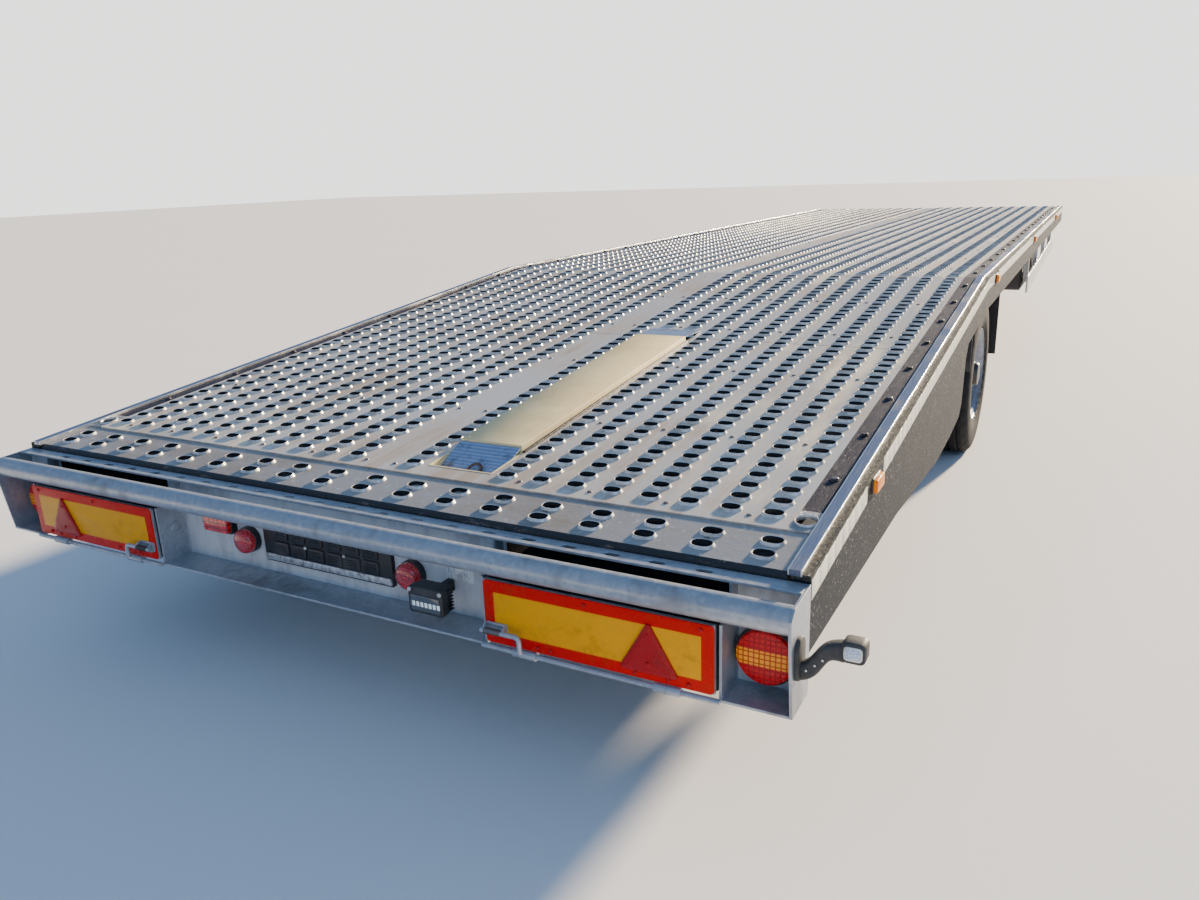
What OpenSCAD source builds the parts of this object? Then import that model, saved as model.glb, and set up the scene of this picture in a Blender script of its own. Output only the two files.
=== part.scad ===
// Single-axle car transporter semi-trailer with a level front deck, a sloping tail, ramp shafts
// behind two warning-board doors, twin wheels and landing legs. Millimetres, +X forward, +Y left,
// +Z up, origin on the ground under the middle of the trailer's box.

/* [Deck] */
// Height of the level deck above the ground
deck_h = 900; // [800:5:1100]
// Length of the level front deck
front_l = 6300; // [5000:50:7600]
// Length of the sloping tail of the deck, along the slope
tail_l = 2725; // [2300:25:3300]
// Fall of the tail, in degrees
tail_fall = 5.45; // [4:0.05:6.5]
// Width over the side beams
deck_w = 2500; // [2300:10:2550]
// Width of the dark top of each side beam, outside the silver rail
cap_w = 18; // [14:1:30]
// Width of each silver edge rail
rail_w = 30; // [22:1:40]
// Width of each dark edge bar
bar_w = 52; // [45:1:70]
// Thickness of the deck sheets
sheet_t = 5; // [3:0.5:8]
// Height of the edge rails above the sheets
rail_rise = 8; // [4:1:15]
// Length of the bent apron at the rear edge, along the slope
apron_l = 175; // [140:5:220]
// Height of the apron's bent-down lip
apron_lip = 26; // [20:1:32]
// Radius of the round stake hole at each rear corner
stake_r = 23; // [18:0.5:32]

/* [Cover plate] */
// Middle of the cover plate, from the centre line
cover_y = 250; // [200:5:400]
// Width of the cover plate
cover_w = 200; // [160:5:260]
// Length of the cover plate along the slope
cover_l = 1130; // [800:10:1500]
// Height of the cover plate above the sheet
cover_rise = 20; // [10:1:30]
// Length of each ribbed end piece
cover_end_l = 150; // [100:5:200]

/* [Chassis] */
// Depth of the main rails
rail_h = 180; // [140:5:260]
// Width of the main rails' flanges
flange_w = 90; // [70:5:120]
// Thickness of the main rails' webs and flanges
rail_t = 8; // [6:0.5:12]
// Middle of each main rail, from the centre line
rail_y = 460; // [420:5:500]
// Depth of the main rails over the coupling
neck_h = 95; // [80:5:140]
// Length of the shallow neck over the coupling
neck_l = 1500; // [1200:50:1900]
// Height of the cross members
cross_h = 60; // [50:5:80]
// Width of the cross members
cross_w = 40; // [30:5:60]
// Depth of the side beams below the deck
side_h = 140; // [110:5:160]
// Thickness of the side beams
side_t = 40; // [25:1:60]

/* [Rear beam] */
// Gap from the deck's rear edge to the middle of the rear tube
beam_gap = 95; // [85:1:120]
// Radius of the full-width rear tube
tube_r = 29; // [22:0.5:35]
// Fall from the deck's rear edge to the tube's middle
tube_drop = 50; // [45:1:80]
// Height of the warning boards
board_h = 150; // [130:1:180]
// Width of the warning boards
board_w = 540; // [450:5:560]
// Middle of each warning board, from the centre line
board_y = 825; // [780:5:860]
// Thickness of the warning boards with their doors
board_t = 14; // [10:1:20]
// Radius of the door hinge rods
hinge_r = 6; // [5:0.5:9]
// Radius of the main rear lamps
lamp_r = 64; // [50:1:65]

/* [Running gear] */
// Distance of the axle ahead of the fold in the deck
axle_ahead = 430; // [300:10:600]
// Radius of the tyres
tyre_r = 385; // [340:1:400]
// Width of each tyre
tyre_w = 225; // [185:1:235]
// Gap between the twin tyres
twin_gap = 30; // [20:1:50]
// Gap from the outer tyre wall to the deck's side
tyre_inset = 50; // [46:1:80]
// Radius of the rims
rim_r = 222; // [200:1:240]
// Radius of the wheel spindle
spindle_r = 35; // [30:0.5:45]
// Side of the square axle beam
axle_s = 110; // [90:2:140]

/* [Landing gear and coupling] */
// Distance of the landing legs behind the front edge
leg_back = 2300; // [1900:50:2700]
// Side of the outer leg tubes
leg_s = 100; // [80:2:120]
// Distance of the kingpin behind the front edge
kingpin_back = 800; // [600:10:1100]
// Radius of the kingpin's flange
kingpin_r = 36.5; // [30:0.5:45]
// Radius of the kingpin's neck
kingpin_neck_r = 25.4; // [20:0.1:30]

/* [Hidden] */
$fn = 64;

fall = tan(tail_fall);
tail_run = tail_l * cos(tail_fall);
leaf_set = 12;
board_skin = 3;
bolt_r = 8;
bolt_stand = 20;
tail_end = beam_gap + max(tube_r, leaf_set + board_skin + bolt_stand + bolt_r);
overall = front_l + tail_run + tail_end;
front_x = overall / 2;
kink_x = front_x - front_l;
rear_x = kink_x - tail_run;
tube_x = rear_x - beam_gap;
rear_z = deck_h - tail_run * fall;
tube_z = rear_z - tube_drop;
half_w = deck_w / 2;
rail_out_y = half_w - cap_w;
rail_in_y = rail_out_y - rail_w;
rail_sunk = sheet_t;
bar_y = rail_in_y - bar_w;
sheet_w = 2 * bar_y;
axle_x = kink_x + axle_ahead;
axle_z = tyre_r;
tyre_out_y = half_w - tyre_inset;
twin_w = 2 * tyre_w + twin_gap;
tyre_in_y = tyre_out_y - twin_w;
shaft_in_y = board_y - board_w / 2;
shaft_out_y = board_y + board_w / 2;
board_gap = 8;
board_top = tube_z - tube_r - board_gap;
board_bottom = board_top - board_h;
lip_z = board_bottom - 10;
wall_x = rear_x - 12;
plate_t = 6;
end_t = 6;
bay_gap = 6;
bay_in_y = shaft_in_y - bay_gap;
bay_out_y = shaft_out_y + bay_gap;
leaf_x = tube_x - leaf_set;
leaf_t = 10;
barrel_r = hinge_r + 4;
hinge_x = tube_x - 14;
hinge_z = board_bottom - barrel_r - 2;
shaft_l = 2100;
wall_z = (lip_z + board_top) / 2;
ledge_z = rear_z - 16;
ledge_w = 45;
pin_x = front_x - kingpin_back;
under_z = deck_h - sheet_t - cross_h;
neck_z = under_z - neck_h;
rail_z = under_z - rail_h;
leg_x = front_x - leg_back;
leg_y = rail_y + flange_w / 2 + 60 + leg_s / 2;
guard_y = half_w - 12;
crank_z = 520;
marker_z = wall_z + 76;
marker_reach = 84;
guard_back = axle_x - tyre_r - 120;
guard_front = axle_x + tyre_r + 190;
fit = 0.05;
seat = 0.3;

function deck_z(x) = deck_h + min(0, (x - kink_x) * fall);

// Keeps a shape and its mirror image on the other side of the centre line
module both_sides() {
    children();
    mirror([0, 1, 0]) children();
}

// Turns an outline drawn in X and Z into a plate of thickness t whose outer face is at y
module plate(y, t) {
    translate([0, y, 0]) rotate([90, 0, 0]) linear_extrude(t) children();
}

// Outline between two depths under the deck line, from x0 on the tail to x1 on the level deck
module strip(x0, x1, top, bottom) {
    polygon([[x0, deck_z(x0) - top], [kink_x, deck_h - top], [x1, deck_h - top],
        [x1, deck_h - bottom], [kink_x, deck_h - bottom], [x0, deck_z(x0) - bottom]]);
}

// Moves a shape drawn at the fold, with -X along the tail, down on to the slope
module on_tail() {
    translate([kink_x, 0, deck_h]) rotate([0, -tail_fall, 0]) children();
}

module main_rail(y) {
    under = sheet_t + cross_h;
    neck_x = front_x - neck_l;
    module outline(inset) {
        polygon([[rear_x, deck_z(rear_x) - under - inset], [kink_x, deck_h - under - inset],
            [front_x - 60, deck_h - under - inset], [front_x - 60, deck_h - under - neck_h + inset],
            [neck_x, deck_h - under - neck_h + inset],
            [neck_x - rail_h, deck_h - under - rail_h + inset],
            [kink_x, deck_h - under - rail_h + inset],
            [rear_x, deck_z(rear_x) - under - rail_h + inset]]);
    }
    difference() {
        plate(y + flange_w / 2, flange_w) outline(0);
        for (side = [0, 1])
            plate(side == 0 ? y + flange_w / 2 + 1 : y - rail_t / 2, (flange_w - rail_t) / 2 + 1)
                scale_past_ends() outline(rail_t);
    }
}

// Stretches an outline a little along X so that a cut runs out through both ends
module scale_past_ends() {
    children();
    translate([-20, 0]) children();
    translate([20, 0]) children();
}

module main_rails() {
    color([0.16, 0.17, 0.19]) both_sides() main_rail(rail_y);
}

// Channel across the deck, under the sheet, reaching the same way to both sides
module cross_member(x, reach) {
    plate(reach, 2 * reach) polygon([
        for (p = [[-1, seat], [1, seat], [1, cross_h], [-1, cross_h]])
            [x + p[0] * cross_w / 2, deck_z(x + p[0] * cross_w / 2) - sheet_t - p[1]]]);
}

module cross_members() {
    inner = half_w - side_t;
    count = 14;
    tail_count = 4;
    first = kink_x + 60;
    step = (front_x - 200 - first) / (count - 1);
    tail_step = (tail_run - 420) / tail_count;
    color([0.14, 0.15, 0.17]) {
        for (i = [0 : count - 1]) {
            x = first + i * step;
            over_wheel = x > guard_back - cross_w && x < guard_front + cross_w;
            cross_member(x, over_wheel ? tyre_in_y - 60 : inner);
        }
        for (i = [1 : tail_count]) cross_member(kink_x - i * tail_step, inner);
        cross_member(rear_x + 90, inner);
    }
}

module deck_front() {
    color([0.62, 0.64, 0.66]) translate([kink_x, -sheet_w / 2, deck_h - sheet_t])
        cube([front_l, sheet_w, sheet_t]);
}

module deck_tail() {
    x0 = kink_x - (tail_l - apron_l) * cos(tail_fall);
    color([0.62, 0.64, 0.66]) difference() {
        plate(sheet_w / 2, sheet_w) polygon([[x0, deck_z(x0)], [kink_x, deck_h],
            [kink_x, deck_h - sheet_t], [x0, deck_z(x0) - sheet_t]]);
        cover_opening();
    }
}

// The hole in the tail sheet that the cover plate and its ends fill
cover_start = tail_l - apron_l - 60;
module cover_opening() {
    on_tail() translate([-cover_start, -cover_y - cover_w / 2 - 2, -50])
        cube([cover_l + 2 * cover_end_l, cover_w + 4, 100]);
}

module apron() {
    color([0.25, 0.26, 0.28]) plate(rail_in_y, 2 * rail_in_y) {
        x0 = rear_x;
        x1 = kink_x - (tail_l - apron_l) * cos(tail_fall) - 1;
        polygon([[x1, deck_z(x1)], [x0, deck_z(x0)], [x0, deck_z(x0) - apron_lip],
            [x0 + sheet_t, deck_z(x0) - apron_lip], [x0 + sheet_t, deck_z(x0 + sheet_t) - sheet_t],
            [x1, deck_z(x1) - sheet_t]]);
    }
}

module edge_bars() {
    x0 = kink_x - (tail_l - apron_l) * cos(tail_fall) + 1;
    hole_l = tail_l - apron_l - stake_r - 25;
    color([0.22, 0.22, 0.25]) both_sides() difference() {
        plate(rail_in_y, bar_w) strip(x0, front_x, 0, sheet_t);
        on_tail() translate([-hole_l, bar_y + bar_w / 2, -60])
            cylinder(r = min(stake_r, bar_w / 2 - 3), h = 120);
    }
}

module edge_rails() {
    color([0.72, 0.73, 0.75]) both_sides()
        plate(rail_out_y, rail_w) strip(rear_x, front_x, -rail_rise, rail_sunk);
}

module side_beams() {
    color([0.2, 0.21, 0.23]) both_sides()
        union() {
            plate(half_w, side_t) strip(rear_x, front_x, rail_sunk, side_h);
            plate(half_w, cap_w) strip(rear_x, front_x, 0, side_h);
        }
}

module cover_plate() {
    color([0.78, 0.73, 0.55]) on_tail()
        translate([-cover_start + cover_end_l, -cover_y - cover_w / 2, -sheet_t])
            cube([cover_l, cover_w, sheet_t + cover_rise]);
}

module cover_ends() {
    dip = 35;
    floor_t = 4;
    color([0.55, 0.6, 0.66]) on_tail() translate([0, -cover_y + cover_w / 2, 0])
        rotate([90, 0, 0]) linear_extrude(cover_w) {
            x0 = -cover_start;
            x1 = x0 + cover_end_l;
            x2 = x1 + cover_l;
            x3 = x2 + cover_end_l;
            polygon([[x0, 0], [x0 + floor_t, 0], [x0 + floor_t, -dip], [x1, -sheet_t],
                [x1, -sheet_t - floor_t], [x0, -dip - floor_t]]);
            polygon([[x3, 0], [x3, -floor_t], [x2, -floor_t], [x2, cover_rise]]);
        }
}

module front_beam() {
    color([0.2, 0.21, 0.23]) translate([front_x - 60, -half_w + side_t, deck_h - side_h])
        cube([60, deck_w - 2 * side_t, side_h - sheet_t]);
}

module coupling_plate() {
    color([0.3, 0.31, 0.33]) {
        translate([front_x - neck_l + 100, -rail_y - flange_w / 2, neck_z - 10])
            cube([neck_l - 160, 2 * rail_y + flange_w, 10]);
        translate([pin_x, 0, neck_z - 10 - 51]) cylinder(r = kingpin_neck_r, h = 51);
        translate([pin_x, 0, neck_z - 10 - 51 - 32]) cylinder(r = kingpin_r, h = 32);
        translate([pin_x, 0, neck_z - 10 - 15]) cylinder(r = kingpin_r, h = 15);
    }
}

module air_connection_panel() {
    panel_w = 420;
    panel_h = 90;
    panel_t = 5;
    pitch = 100;
    x0 = front_x - 25;
    z0 = deck_h - side_h - panel_h;
    color([0.35, 0.36, 0.38]) {
        translate([x0, -panel_w / 2, z0]) cube([panel_t, panel_w, panel_h]);
        for (i = [-1.5 : 1.5]) translate([x0 + panel_t, i * pitch, z0 + panel_h / 2])
            rotate([0, 90, 0]) cylinder(r = 22, h = 18);
    }
}

module rear_tube() {
    color([0.7, 0.72, 0.74]) translate([tube_x, half_w - end_t, tube_z]) rotate([90, 0, 0])
        cylinder(r = tube_r, h = deck_w - 2 * end_t);
}

// Upright plate of the rear beam, below the tube, from its outer face y inwards
module divider(y) {
    plate(y, plate_t) polygon([[tube_x - 4, lip_z - plate_t], [wall_x, lip_z - plate_t],
        [wall_x, ledge_z - plate_t], [rear_x - ledge_w, ledge_z - plate_t], [rear_x - ledge_w, board_top],
        [tube_x - 4, board_top]]);
}

module rear_frame() {
    color([0.72, 0.74, 0.76]) {
        both_sides() {
            plate(half_w, end_t) polygon([[tube_x - tube_r, tube_z - tube_r], [tube_x - tube_r, tube_z + 10],
                [tube_x - 8, tube_z + tube_r], [rear_x, ledge_z], [rear_x, lip_z - plate_t],
                [tube_x - 8, lip_z - plate_t]]);
            difference() {
                divider(bay_in_y);
                hinge_hole();
            }
            difference() {
                divider(bay_out_y + plate_t);
                hinge_hole();
            }
            translate([tube_x - 8, bay_out_y + plate_t, lip_z - plate_t])
                cube([wall_x - tube_x + 8, half_w - end_t - bay_out_y - plate_t, plate_t]);
        }
        translate([tube_x - 8, -bay_in_y + plate_t, lip_z - plate_t])
            cube([wall_x - tube_x + 8, 2 * (bay_in_y - plate_t), plate_t]);
    }
}

// Room for the ends of the door's hinge rod
module hinge_hole() {
    translate([hinge_x, half_w, hinge_z]) rotate([90, 0, 0]) cylinder(r = hinge_r + seat, h = half_w);
}

module rear_ledge() {
    pitch = 104;
    color([0.66, 0.69, 0.73]) difference() {
        translate([rear_x - ledge_w, -half_w + end_t, ledge_z - plate_t])
            cube([ledge_w, deck_w - 2 * end_t, plate_t]);
        for (i = [-10 : 10]) translate([rear_x - ledge_w / 2, i * pitch, ledge_z]) slot(36, 14, 20);
    }
}

// A slot through a level plate, its long way across the trailer
module slot(l, w, depth) {
    translate([0, 0, -depth]) linear_extrude(2 * depth) {
        translate([-w / 2, -(l - w) / 2]) square([w, l - w]);
        for (side = [-1, 1]) translate([0, side * (l - w) / 2]) circle(d = w, $fn = 24);
    }
}

module rear_back_wall() {
    wall_t = 5;
    z0 = lip_z - plate_t;
    h = ledge_z - plate_t - z0;
    color([0.8, 0.81, 0.82]) {
        translate([wall_x, -shaft_in_y, z0]) cube([wall_t, 2 * shaft_in_y, h]);
        both_sides() translate([wall_x, shaft_out_y, z0])
            cube([wall_t, half_w - end_t - shaft_out_y, h]);
    }
}

module ramp_shafts() {
    wall = 4;
    x0 = tube_x + 6;
    z0 = hinge_z + barrel_r + 1;
    h = board_top - z0;
    color([0.3, 0.31, 0.33]) both_sides() translate([x0, shaft_in_y, z0]) difference() {
        cube([shaft_l, board_w, h]);
        translate([-1, wall, wall]) cube([shaft_l - wall, board_w - 2 * wall, h - 2 * wall]);
    }
}

module ramp_door(side) {
    barrel_l = 60;
    first = shaft_in_y + 70;
    last = shaft_out_y - 70 - barrel_l;
    color([0.6, 0.62, 0.65]) scale_y(side) difference() {
        union() {
            translate([leaf_x, shaft_in_y, board_bottom]) cube([leaf_t, board_w, board_h]);
            for (y = [first, last]) {
                translate([leaf_x, y, hinge_z]) cube([leaf_t, barrel_l, board_bottom - hinge_z + 1]);
                translate([hinge_x, y + barrel_l, hinge_z]) rotate([90, 0, 0])
                    cylinder(r = barrel_r, h = barrel_l);
            }
        }
        translate([hinge_x, half_w, hinge_z]) rotate([90, 0, 0]) cylinder(r = hinge_r + fit, h = half_w);
    }
}

// Mirrors a left-hand shape to the right for side = -1
module scale_y(side) {
    mirror([0, side < 0 ? 1 : 0, 0]) children();
}

module warning_board(side) {
    color([0.93, 0.68, 0.1]) scale_y(side)
        translate([leaf_x - board_skin, shaft_in_y, board_bottom]) cube([board_skin, board_w, board_h]);
}

module door_bolt(side) {
    x0 = leaf_x - board_skin;
    z0 = board_bottom + 38;
    keep_l = 56;
    keep_t = 5;
    pin_l = 104;
    handle_l = 38;
    color([0.7, 0.71, 0.73]) scale_y(side) {
        for (z = [z0 - bolt_r - keep_t, z0 + bolt_r])
            translate([x0 - bolt_stand, shaft_in_y + 4, z]) cube([bolt_stand, keep_l, keep_t]);
        translate([x0 - keep_t, shaft_in_y + 4, z0 - bolt_r - keep_t])
            cube([keep_t, keep_l, 2 * (bolt_r + keep_t)]);
        translate([x0 - bolt_stand, shaft_in_y + pin_l - 4, z0]) {
            rotate([90, 0, 0]) cylinder(r = bolt_r, h = pin_l);
            sphere(r = bolt_r);
            translate([0, 0, -handle_l]) cylinder(r = bolt_r - 0.5, h = handle_l);
        }
    }
}

module hinge_rods() {
    color([0.6, 0.62, 0.65]) both_sides() translate([hinge_x, bay_out_y + plate_t, hinge_z])
        rotate([90, 0, 0]) cylinder(r = hinge_r, h = board_w + 2 * bay_gap + 2 * plate_t);
}

module main_lamps() {
    y = (bay_out_y + plate_t + half_w - end_t) / 2;
    color([0.75, 0.08, 0.08]) both_sides() translate([wall_x, y, wall_z]) rotate([0, -90, 0])
        cylinder(r = min(lamp_r, half_w - end_t - y - 1), h = 42);
}

module inner_lamps() {
    color([0.75, 0.08, 0.08]) {
        for (y = [-280, 280]) translate([wall_x, y, wall_z + 4]) rotate([0, -90, 0]) cylinder(r = 36, h = 42);
        translate([wall_x - 30, 332, wall_z + 10]) cube([30, 105, 52]);
    }
}

module plate_holder() {
    holder_w = 440;
    color([0.07, 0.07, 0.08]) translate([wall_x - 18, -holder_w / 2, wall_z - 44]) cube([18, holder_w, 112]);
}

module work_light() {
    color([0.06, 0.06, 0.07]) {
        translate([tube_x - 20, -440, wall_z - 40]) cube([50, 98, 66]);
        translate([tube_x + 30, -400, wall_z - 20]) cube([wall_x - tube_x - 30, 18, 30]);
    }
}

// Turns an outline drawn in Y and Z into a plate of thickness t that starts at x
module rib(x, t) {
    translate([x, 0, 0]) rotate([90, 0, 90]) linear_extrude(t) children();
}

module marker_arms() {
    z = marker_z;
    color([0.05, 0.05, 0.05]) both_sides() {
        rib(tube_x - 10, 50) translate([half_w, z - 86]) square([8, 88]);
        rib(tube_x + 1, 28) polygon([[half_w + 8, z - 66], [half_w + 22, z - 56],
            [half_w + marker_reach, z - 18], [half_w + marker_reach, z + 8], [half_w + 8, z - 26]]);
    }
}

module marker_lamps() {
    lamp_s = 46;
    color([0.85, 0.86, 0.88]) both_sides()
        translate([tube_x - 8, half_w + marker_reach, z_middle(lamp_s)]) cube([lamp_s, 44, lamp_s]);
}

function z_middle(h) = marker_z - h / 2;

module side_marker_lamps() {
    spots = [kink_x + 310, rear_x + 550, kink_x + 2600, kink_x + 5100];
    color([0.95, 0.6, 0.12]) both_sides() for (x = spots)
        translate([x - 42, half_w, deck_z(x) - 56]) cube([84, 14, 40]);
}

module skirts() {
    t = 4;
    x0 = rear_x;
    x1 = axle_x - tyre_r - 610;
    arch = 60;
    color([0.2, 0.21, 0.23]) both_sides() plate(half_w - 4, t) polygon([
        [x0, deck_z(x0) - side_h], [x0, 470], [kink_x - 1830, 460], [kink_x - 1150, 408],
        [kink_x - 860, 418], [kink_x - 640, 440], [kink_x - 590, 480],
        [kink_x - 560, deck_h - 53 - side_h - arch], [kink_x - 500, deck_h - 48 - side_h]]);
}

// Outline of the wheel cover in X and Z, drawn in by t all round except at its open foot
module guard_outline(t) {
    corner_r = 160;
    foot = 380;
    top = deck_h - sheet_t - 8 - t;
    x0 = guard_back + t;
    x1 = guard_front - t;
    r = corner_r - t;
    low = t > 0 ? foot - 1 : foot;
    translate([x0, low]) square([x1 - x0, top - low - r]);
    translate([x0 + r, low]) square([x1 - x0 - 2 * r, top - low]);
    for (x = [x0 + r, x1 - r]) translate([x, top - r]) circle(r = r);
}

module mudguards() {
    guard_t = 5;
    y1 = half_w - side_t;
    w = y1 - tyre_in_y + 20;
    back_cut = 130;
    color([0.05, 0.05, 0.06]) both_sides() difference() {
        plate(y1, w) difference() {
            guard_outline(0);
            guard_outline(guard_t);
        }
        translate([guard_back - 10, y1 - w - 1, 370]) cube([60, w + 2, back_cut]);
    }
}

module side_guards() {
    x0 = kink_x + 2560;
    l = 2700;
    low = deck_h - 390;
    rise = 55;
    h = 110;
    post_w = 40;
    color([0.62, 0.64, 0.66]) both_sides() {
        plate(guard_y, 12) polygon([[x0, low], [x0 + l, low + rise], [x0 + l, low + rise + h], [x0, low + h]]);
        for (i = [0 : 3]) {
            x = x0 + 120 + i * (l - 280) / 3;
            plate(guard_y - 12, 28) translate([x, low + h / 2 + rise * (x - x0) / l])
                square([post_w, deck_h - side_h - low - h / 2 - rise * (x - x0) / l]);
        }
    }
}

module storage_boxes() {
    x0 = kink_x + 2660;
    z0 = deck_h - 390;
    w = 260;
    color([0.08, 0.08, 0.09]) both_sides() translate([x0, guard_y - 45 - w, z0])
        cube([1000, w, under_z - z0]);
}

module air_tanks() {
    r = 115;
    color([0.1, 0.1, 0.11]) both_sides()
        translate([kink_x + 1650, rail_y + flange_w / 2 + 25 + r, under_z - r - seat])
            rotate([0, 90, 0]) cylinder(r = r, h = 620);
}

module axle() {
    color([0.12, 0.13, 0.14]) {
        translate([axle_x - axle_s / 2, -tyre_in_y + 30, axle_z - axle_s / 2])
            cube([axle_s, 2 * (tyre_in_y - 30), axle_s]);
        both_sides() translate([axle_x, tyre_out_y - 60, axle_z]) rotate([90, 0, 0])
            cylinder(r = spindle_r, h = tyre_out_y - 60 - tyre_in_y + 35);
    }
}

module trailing_arms() {
    w = 70;
    top = axle_z - axle_s / 2;
    color([0.1, 0.1, 0.11]) both_sides() {
        plate(rail_y + w / 2, w) polygon([[axle_x - 330, top - 40], [axle_x + 120, top - 40],
            [axle_x + 520, top + 30], [axle_x + 520, top + 90], [axle_x + 120, top], [axle_x - 330, top]]);
        plate(rail_y + w / 2 + 8, 8) polygon([[axle_x + 440, rail_z], [axle_x + 600, rail_z],
            [axle_x + 560, top + 10], [axle_x + 480, top + 10]]);
        plate(rail_y - w / 2, 8) polygon([[axle_x + 440, rail_z], [axle_x + 600, rail_z],
            [axle_x + 560, top + 10], [axle_x + 480, top + 10]]);
    }
}

module air_springs() {
    x = axle_x - 240;
    z0 = axle_z - axle_s / 2;
    color([0.06, 0.06, 0.06]) both_sides() translate([x, rail_y, z0])
        cylinder(r = 95, h = rail_z - z0);
}

module tyre(side) {
    color([0.05, 0.05, 0.05]) scale_y(side) for (i = [0, 1])
        translate([axle_x, tyre_out_y - i * (tyre_w + twin_gap), axle_z]) rotate([90, 0, 0])
            rotate_extrude($fn = 96) polygon([[rim_r + seat, 14], [rim_r + 60, 4], [tyre_r - 60, 0],
                [tyre_r - 18, 12], [tyre_r, 32], [tyre_r, tyre_w - 32], [tyre_r - 18, tyre_w - 12],
                [tyre_r - 60, tyre_w], [rim_r + 60, tyre_w - 4], [rim_r + seat, tyre_w - 14]]);
}

module wheel(side) {
    hub_l = twin_w - 60 - 8;
    mid = tyre_w + twin_gap / 2;
    color([0.72, 0.73, 0.75]) scale_y(side) translate([axle_x, tyre_out_y, axle_z]) rotate([90, 0, 0])
        rotate_extrude($fn = 96) polygon([
            [spindle_r + fit, 62], [100, 62], [100, mid - 14], [rim_r - 60, mid - 14],
            [rim_r - 8, 20], [rim_r, 14], [rim_r, 2 * mid - 14], [rim_r - 8, 2 * mid - 20],
            [rim_r - 60, mid + 14], [100, mid + 14], [100, mid + 60], [165, mid + 60],
            [165, twin_w - 20], [spindle_r + fit, twin_w - 20]]);
}

module landing_legs() {
    top = under_z;
    inner_s = leg_s - 24;
    color([0.3, 0.31, 0.33]) both_sides() {
        translate([leg_x - leg_s / 2, leg_y - leg_s / 2, 330]) cube([leg_s, leg_s, top - 330]);
        translate([leg_x - inner_s / 2, leg_y - inner_s / 2, 30]) cube([inner_s, inner_s, 300]);
        translate([leg_x - 120, leg_y - 110, 0]) cube([240, 220, 14]);
        translate([leg_x - 40, leg_y - 45, 14]) cube([80, 90, 16]);
        translate([leg_x - 70, rail_y + flange_w / 2, rail_z])
            cube([140, leg_y - leg_s / 2 - rail_y - flange_w / 2, rail_h]);
    }
}

module landing_gear_shaft() {
    color([0.3, 0.31, 0.33]) translate([leg_x, leg_y - leg_s / 2, crank_z]) rotate([90, 0, 0])
        cylinder(r = 16, h = 2 * leg_y - leg_s);
}

module landing_gear_crank() {
    y0 = -leg_y - leg_s / 2;
    color([0.6, 0.62, 0.65]) {
        translate([leg_x, y0, crank_z]) rotate([90, 0, 0]) cylinder(r = 14, h = 200);
        translate([leg_x - 14, y0 - 212, crank_z - 140]) cube([28, 12, 154]);
    }
}

main_rails();
cross_members();
deck_front();
deck_tail();
apron();
edge_bars();
edge_rails();
side_beams();
cover_plate();
cover_ends();
front_beam();
coupling_plate();
air_connection_panel();
rear_tube();
rear_frame();
rear_ledge();
rear_back_wall();
ramp_shafts();
hinge_rods();
main_lamps();
inner_lamps();
work_light();
plate_holder();
marker_arms();
marker_lamps();
side_marker_lamps();
skirts();
mudguards();
side_guards();
storage_boxes();
air_tanks();
axle();
air_springs();
trailing_arms();
landing_legs();
landing_gear_shaft();
landing_gear_crank();
ramp_door(1);  // ramp_door_left
warning_board(1);  // warning_board_left
door_bolt(1);  // door_bolt_left
tyre(1);  // tyres_left
wheel(1);  // wheel_left
ramp_door(-1);  // ramp_door_right
warning_board(-1);  // warning_board_right
door_bolt(-1);  // door_bolt_right
tyre(-1);  // tyres_right
wheel(-1);  // wheel_right
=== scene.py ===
import math

import bpy
import numpy as np
from mathutils import Matrix, Vector


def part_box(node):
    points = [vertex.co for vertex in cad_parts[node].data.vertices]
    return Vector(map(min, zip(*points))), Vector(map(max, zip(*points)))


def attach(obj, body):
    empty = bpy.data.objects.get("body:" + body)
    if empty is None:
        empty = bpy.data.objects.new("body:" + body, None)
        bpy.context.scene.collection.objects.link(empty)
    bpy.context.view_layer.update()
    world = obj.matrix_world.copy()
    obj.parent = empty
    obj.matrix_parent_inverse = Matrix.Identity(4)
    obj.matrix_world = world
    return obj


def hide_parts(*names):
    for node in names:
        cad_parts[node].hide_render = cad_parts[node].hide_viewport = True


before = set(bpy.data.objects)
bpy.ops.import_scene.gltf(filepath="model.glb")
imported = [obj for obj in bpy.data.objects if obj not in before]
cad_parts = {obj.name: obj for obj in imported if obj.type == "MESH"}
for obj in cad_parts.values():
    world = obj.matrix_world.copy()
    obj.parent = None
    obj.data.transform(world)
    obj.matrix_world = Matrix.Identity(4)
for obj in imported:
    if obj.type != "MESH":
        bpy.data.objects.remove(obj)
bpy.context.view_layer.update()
MM = 0.001
SIDES = ((1, "left"), (-1, "right"))


# ---------------------------------------------------------------------------------------------
# The camera stands low behind the right rear corner and looks forward along the deck.

across_view = Vector((0.4724, -0.8807, -0.036)).normalized()
view_ahead = Vector((0.8387, 0.4617, -0.289)).normalized()
camera = bpy.data.objects.new("camera", bpy.data.cameras.new("camera"))
bpy.context.scene.collection.objects.link(camera)
camera.data.lens = 27.62
camera.data.sensor_width = 36
camera.data.clip_end = 200
view_turn = Matrix((across_view, across_view.cross(view_ahead), -view_ahead)).transposed()
camera.matrix_world = Matrix.Translation((-6.0337, -1.678, 1.394)) @ view_turn.to_4x4()
bpy.context.scene.camera = camera


# ---------------------------------------------------------------------------------------------
# The studio: a soft warm light low ahead of the trailer, a cool fill from behind it and from the
# sky, and a pale matt floor.

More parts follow.
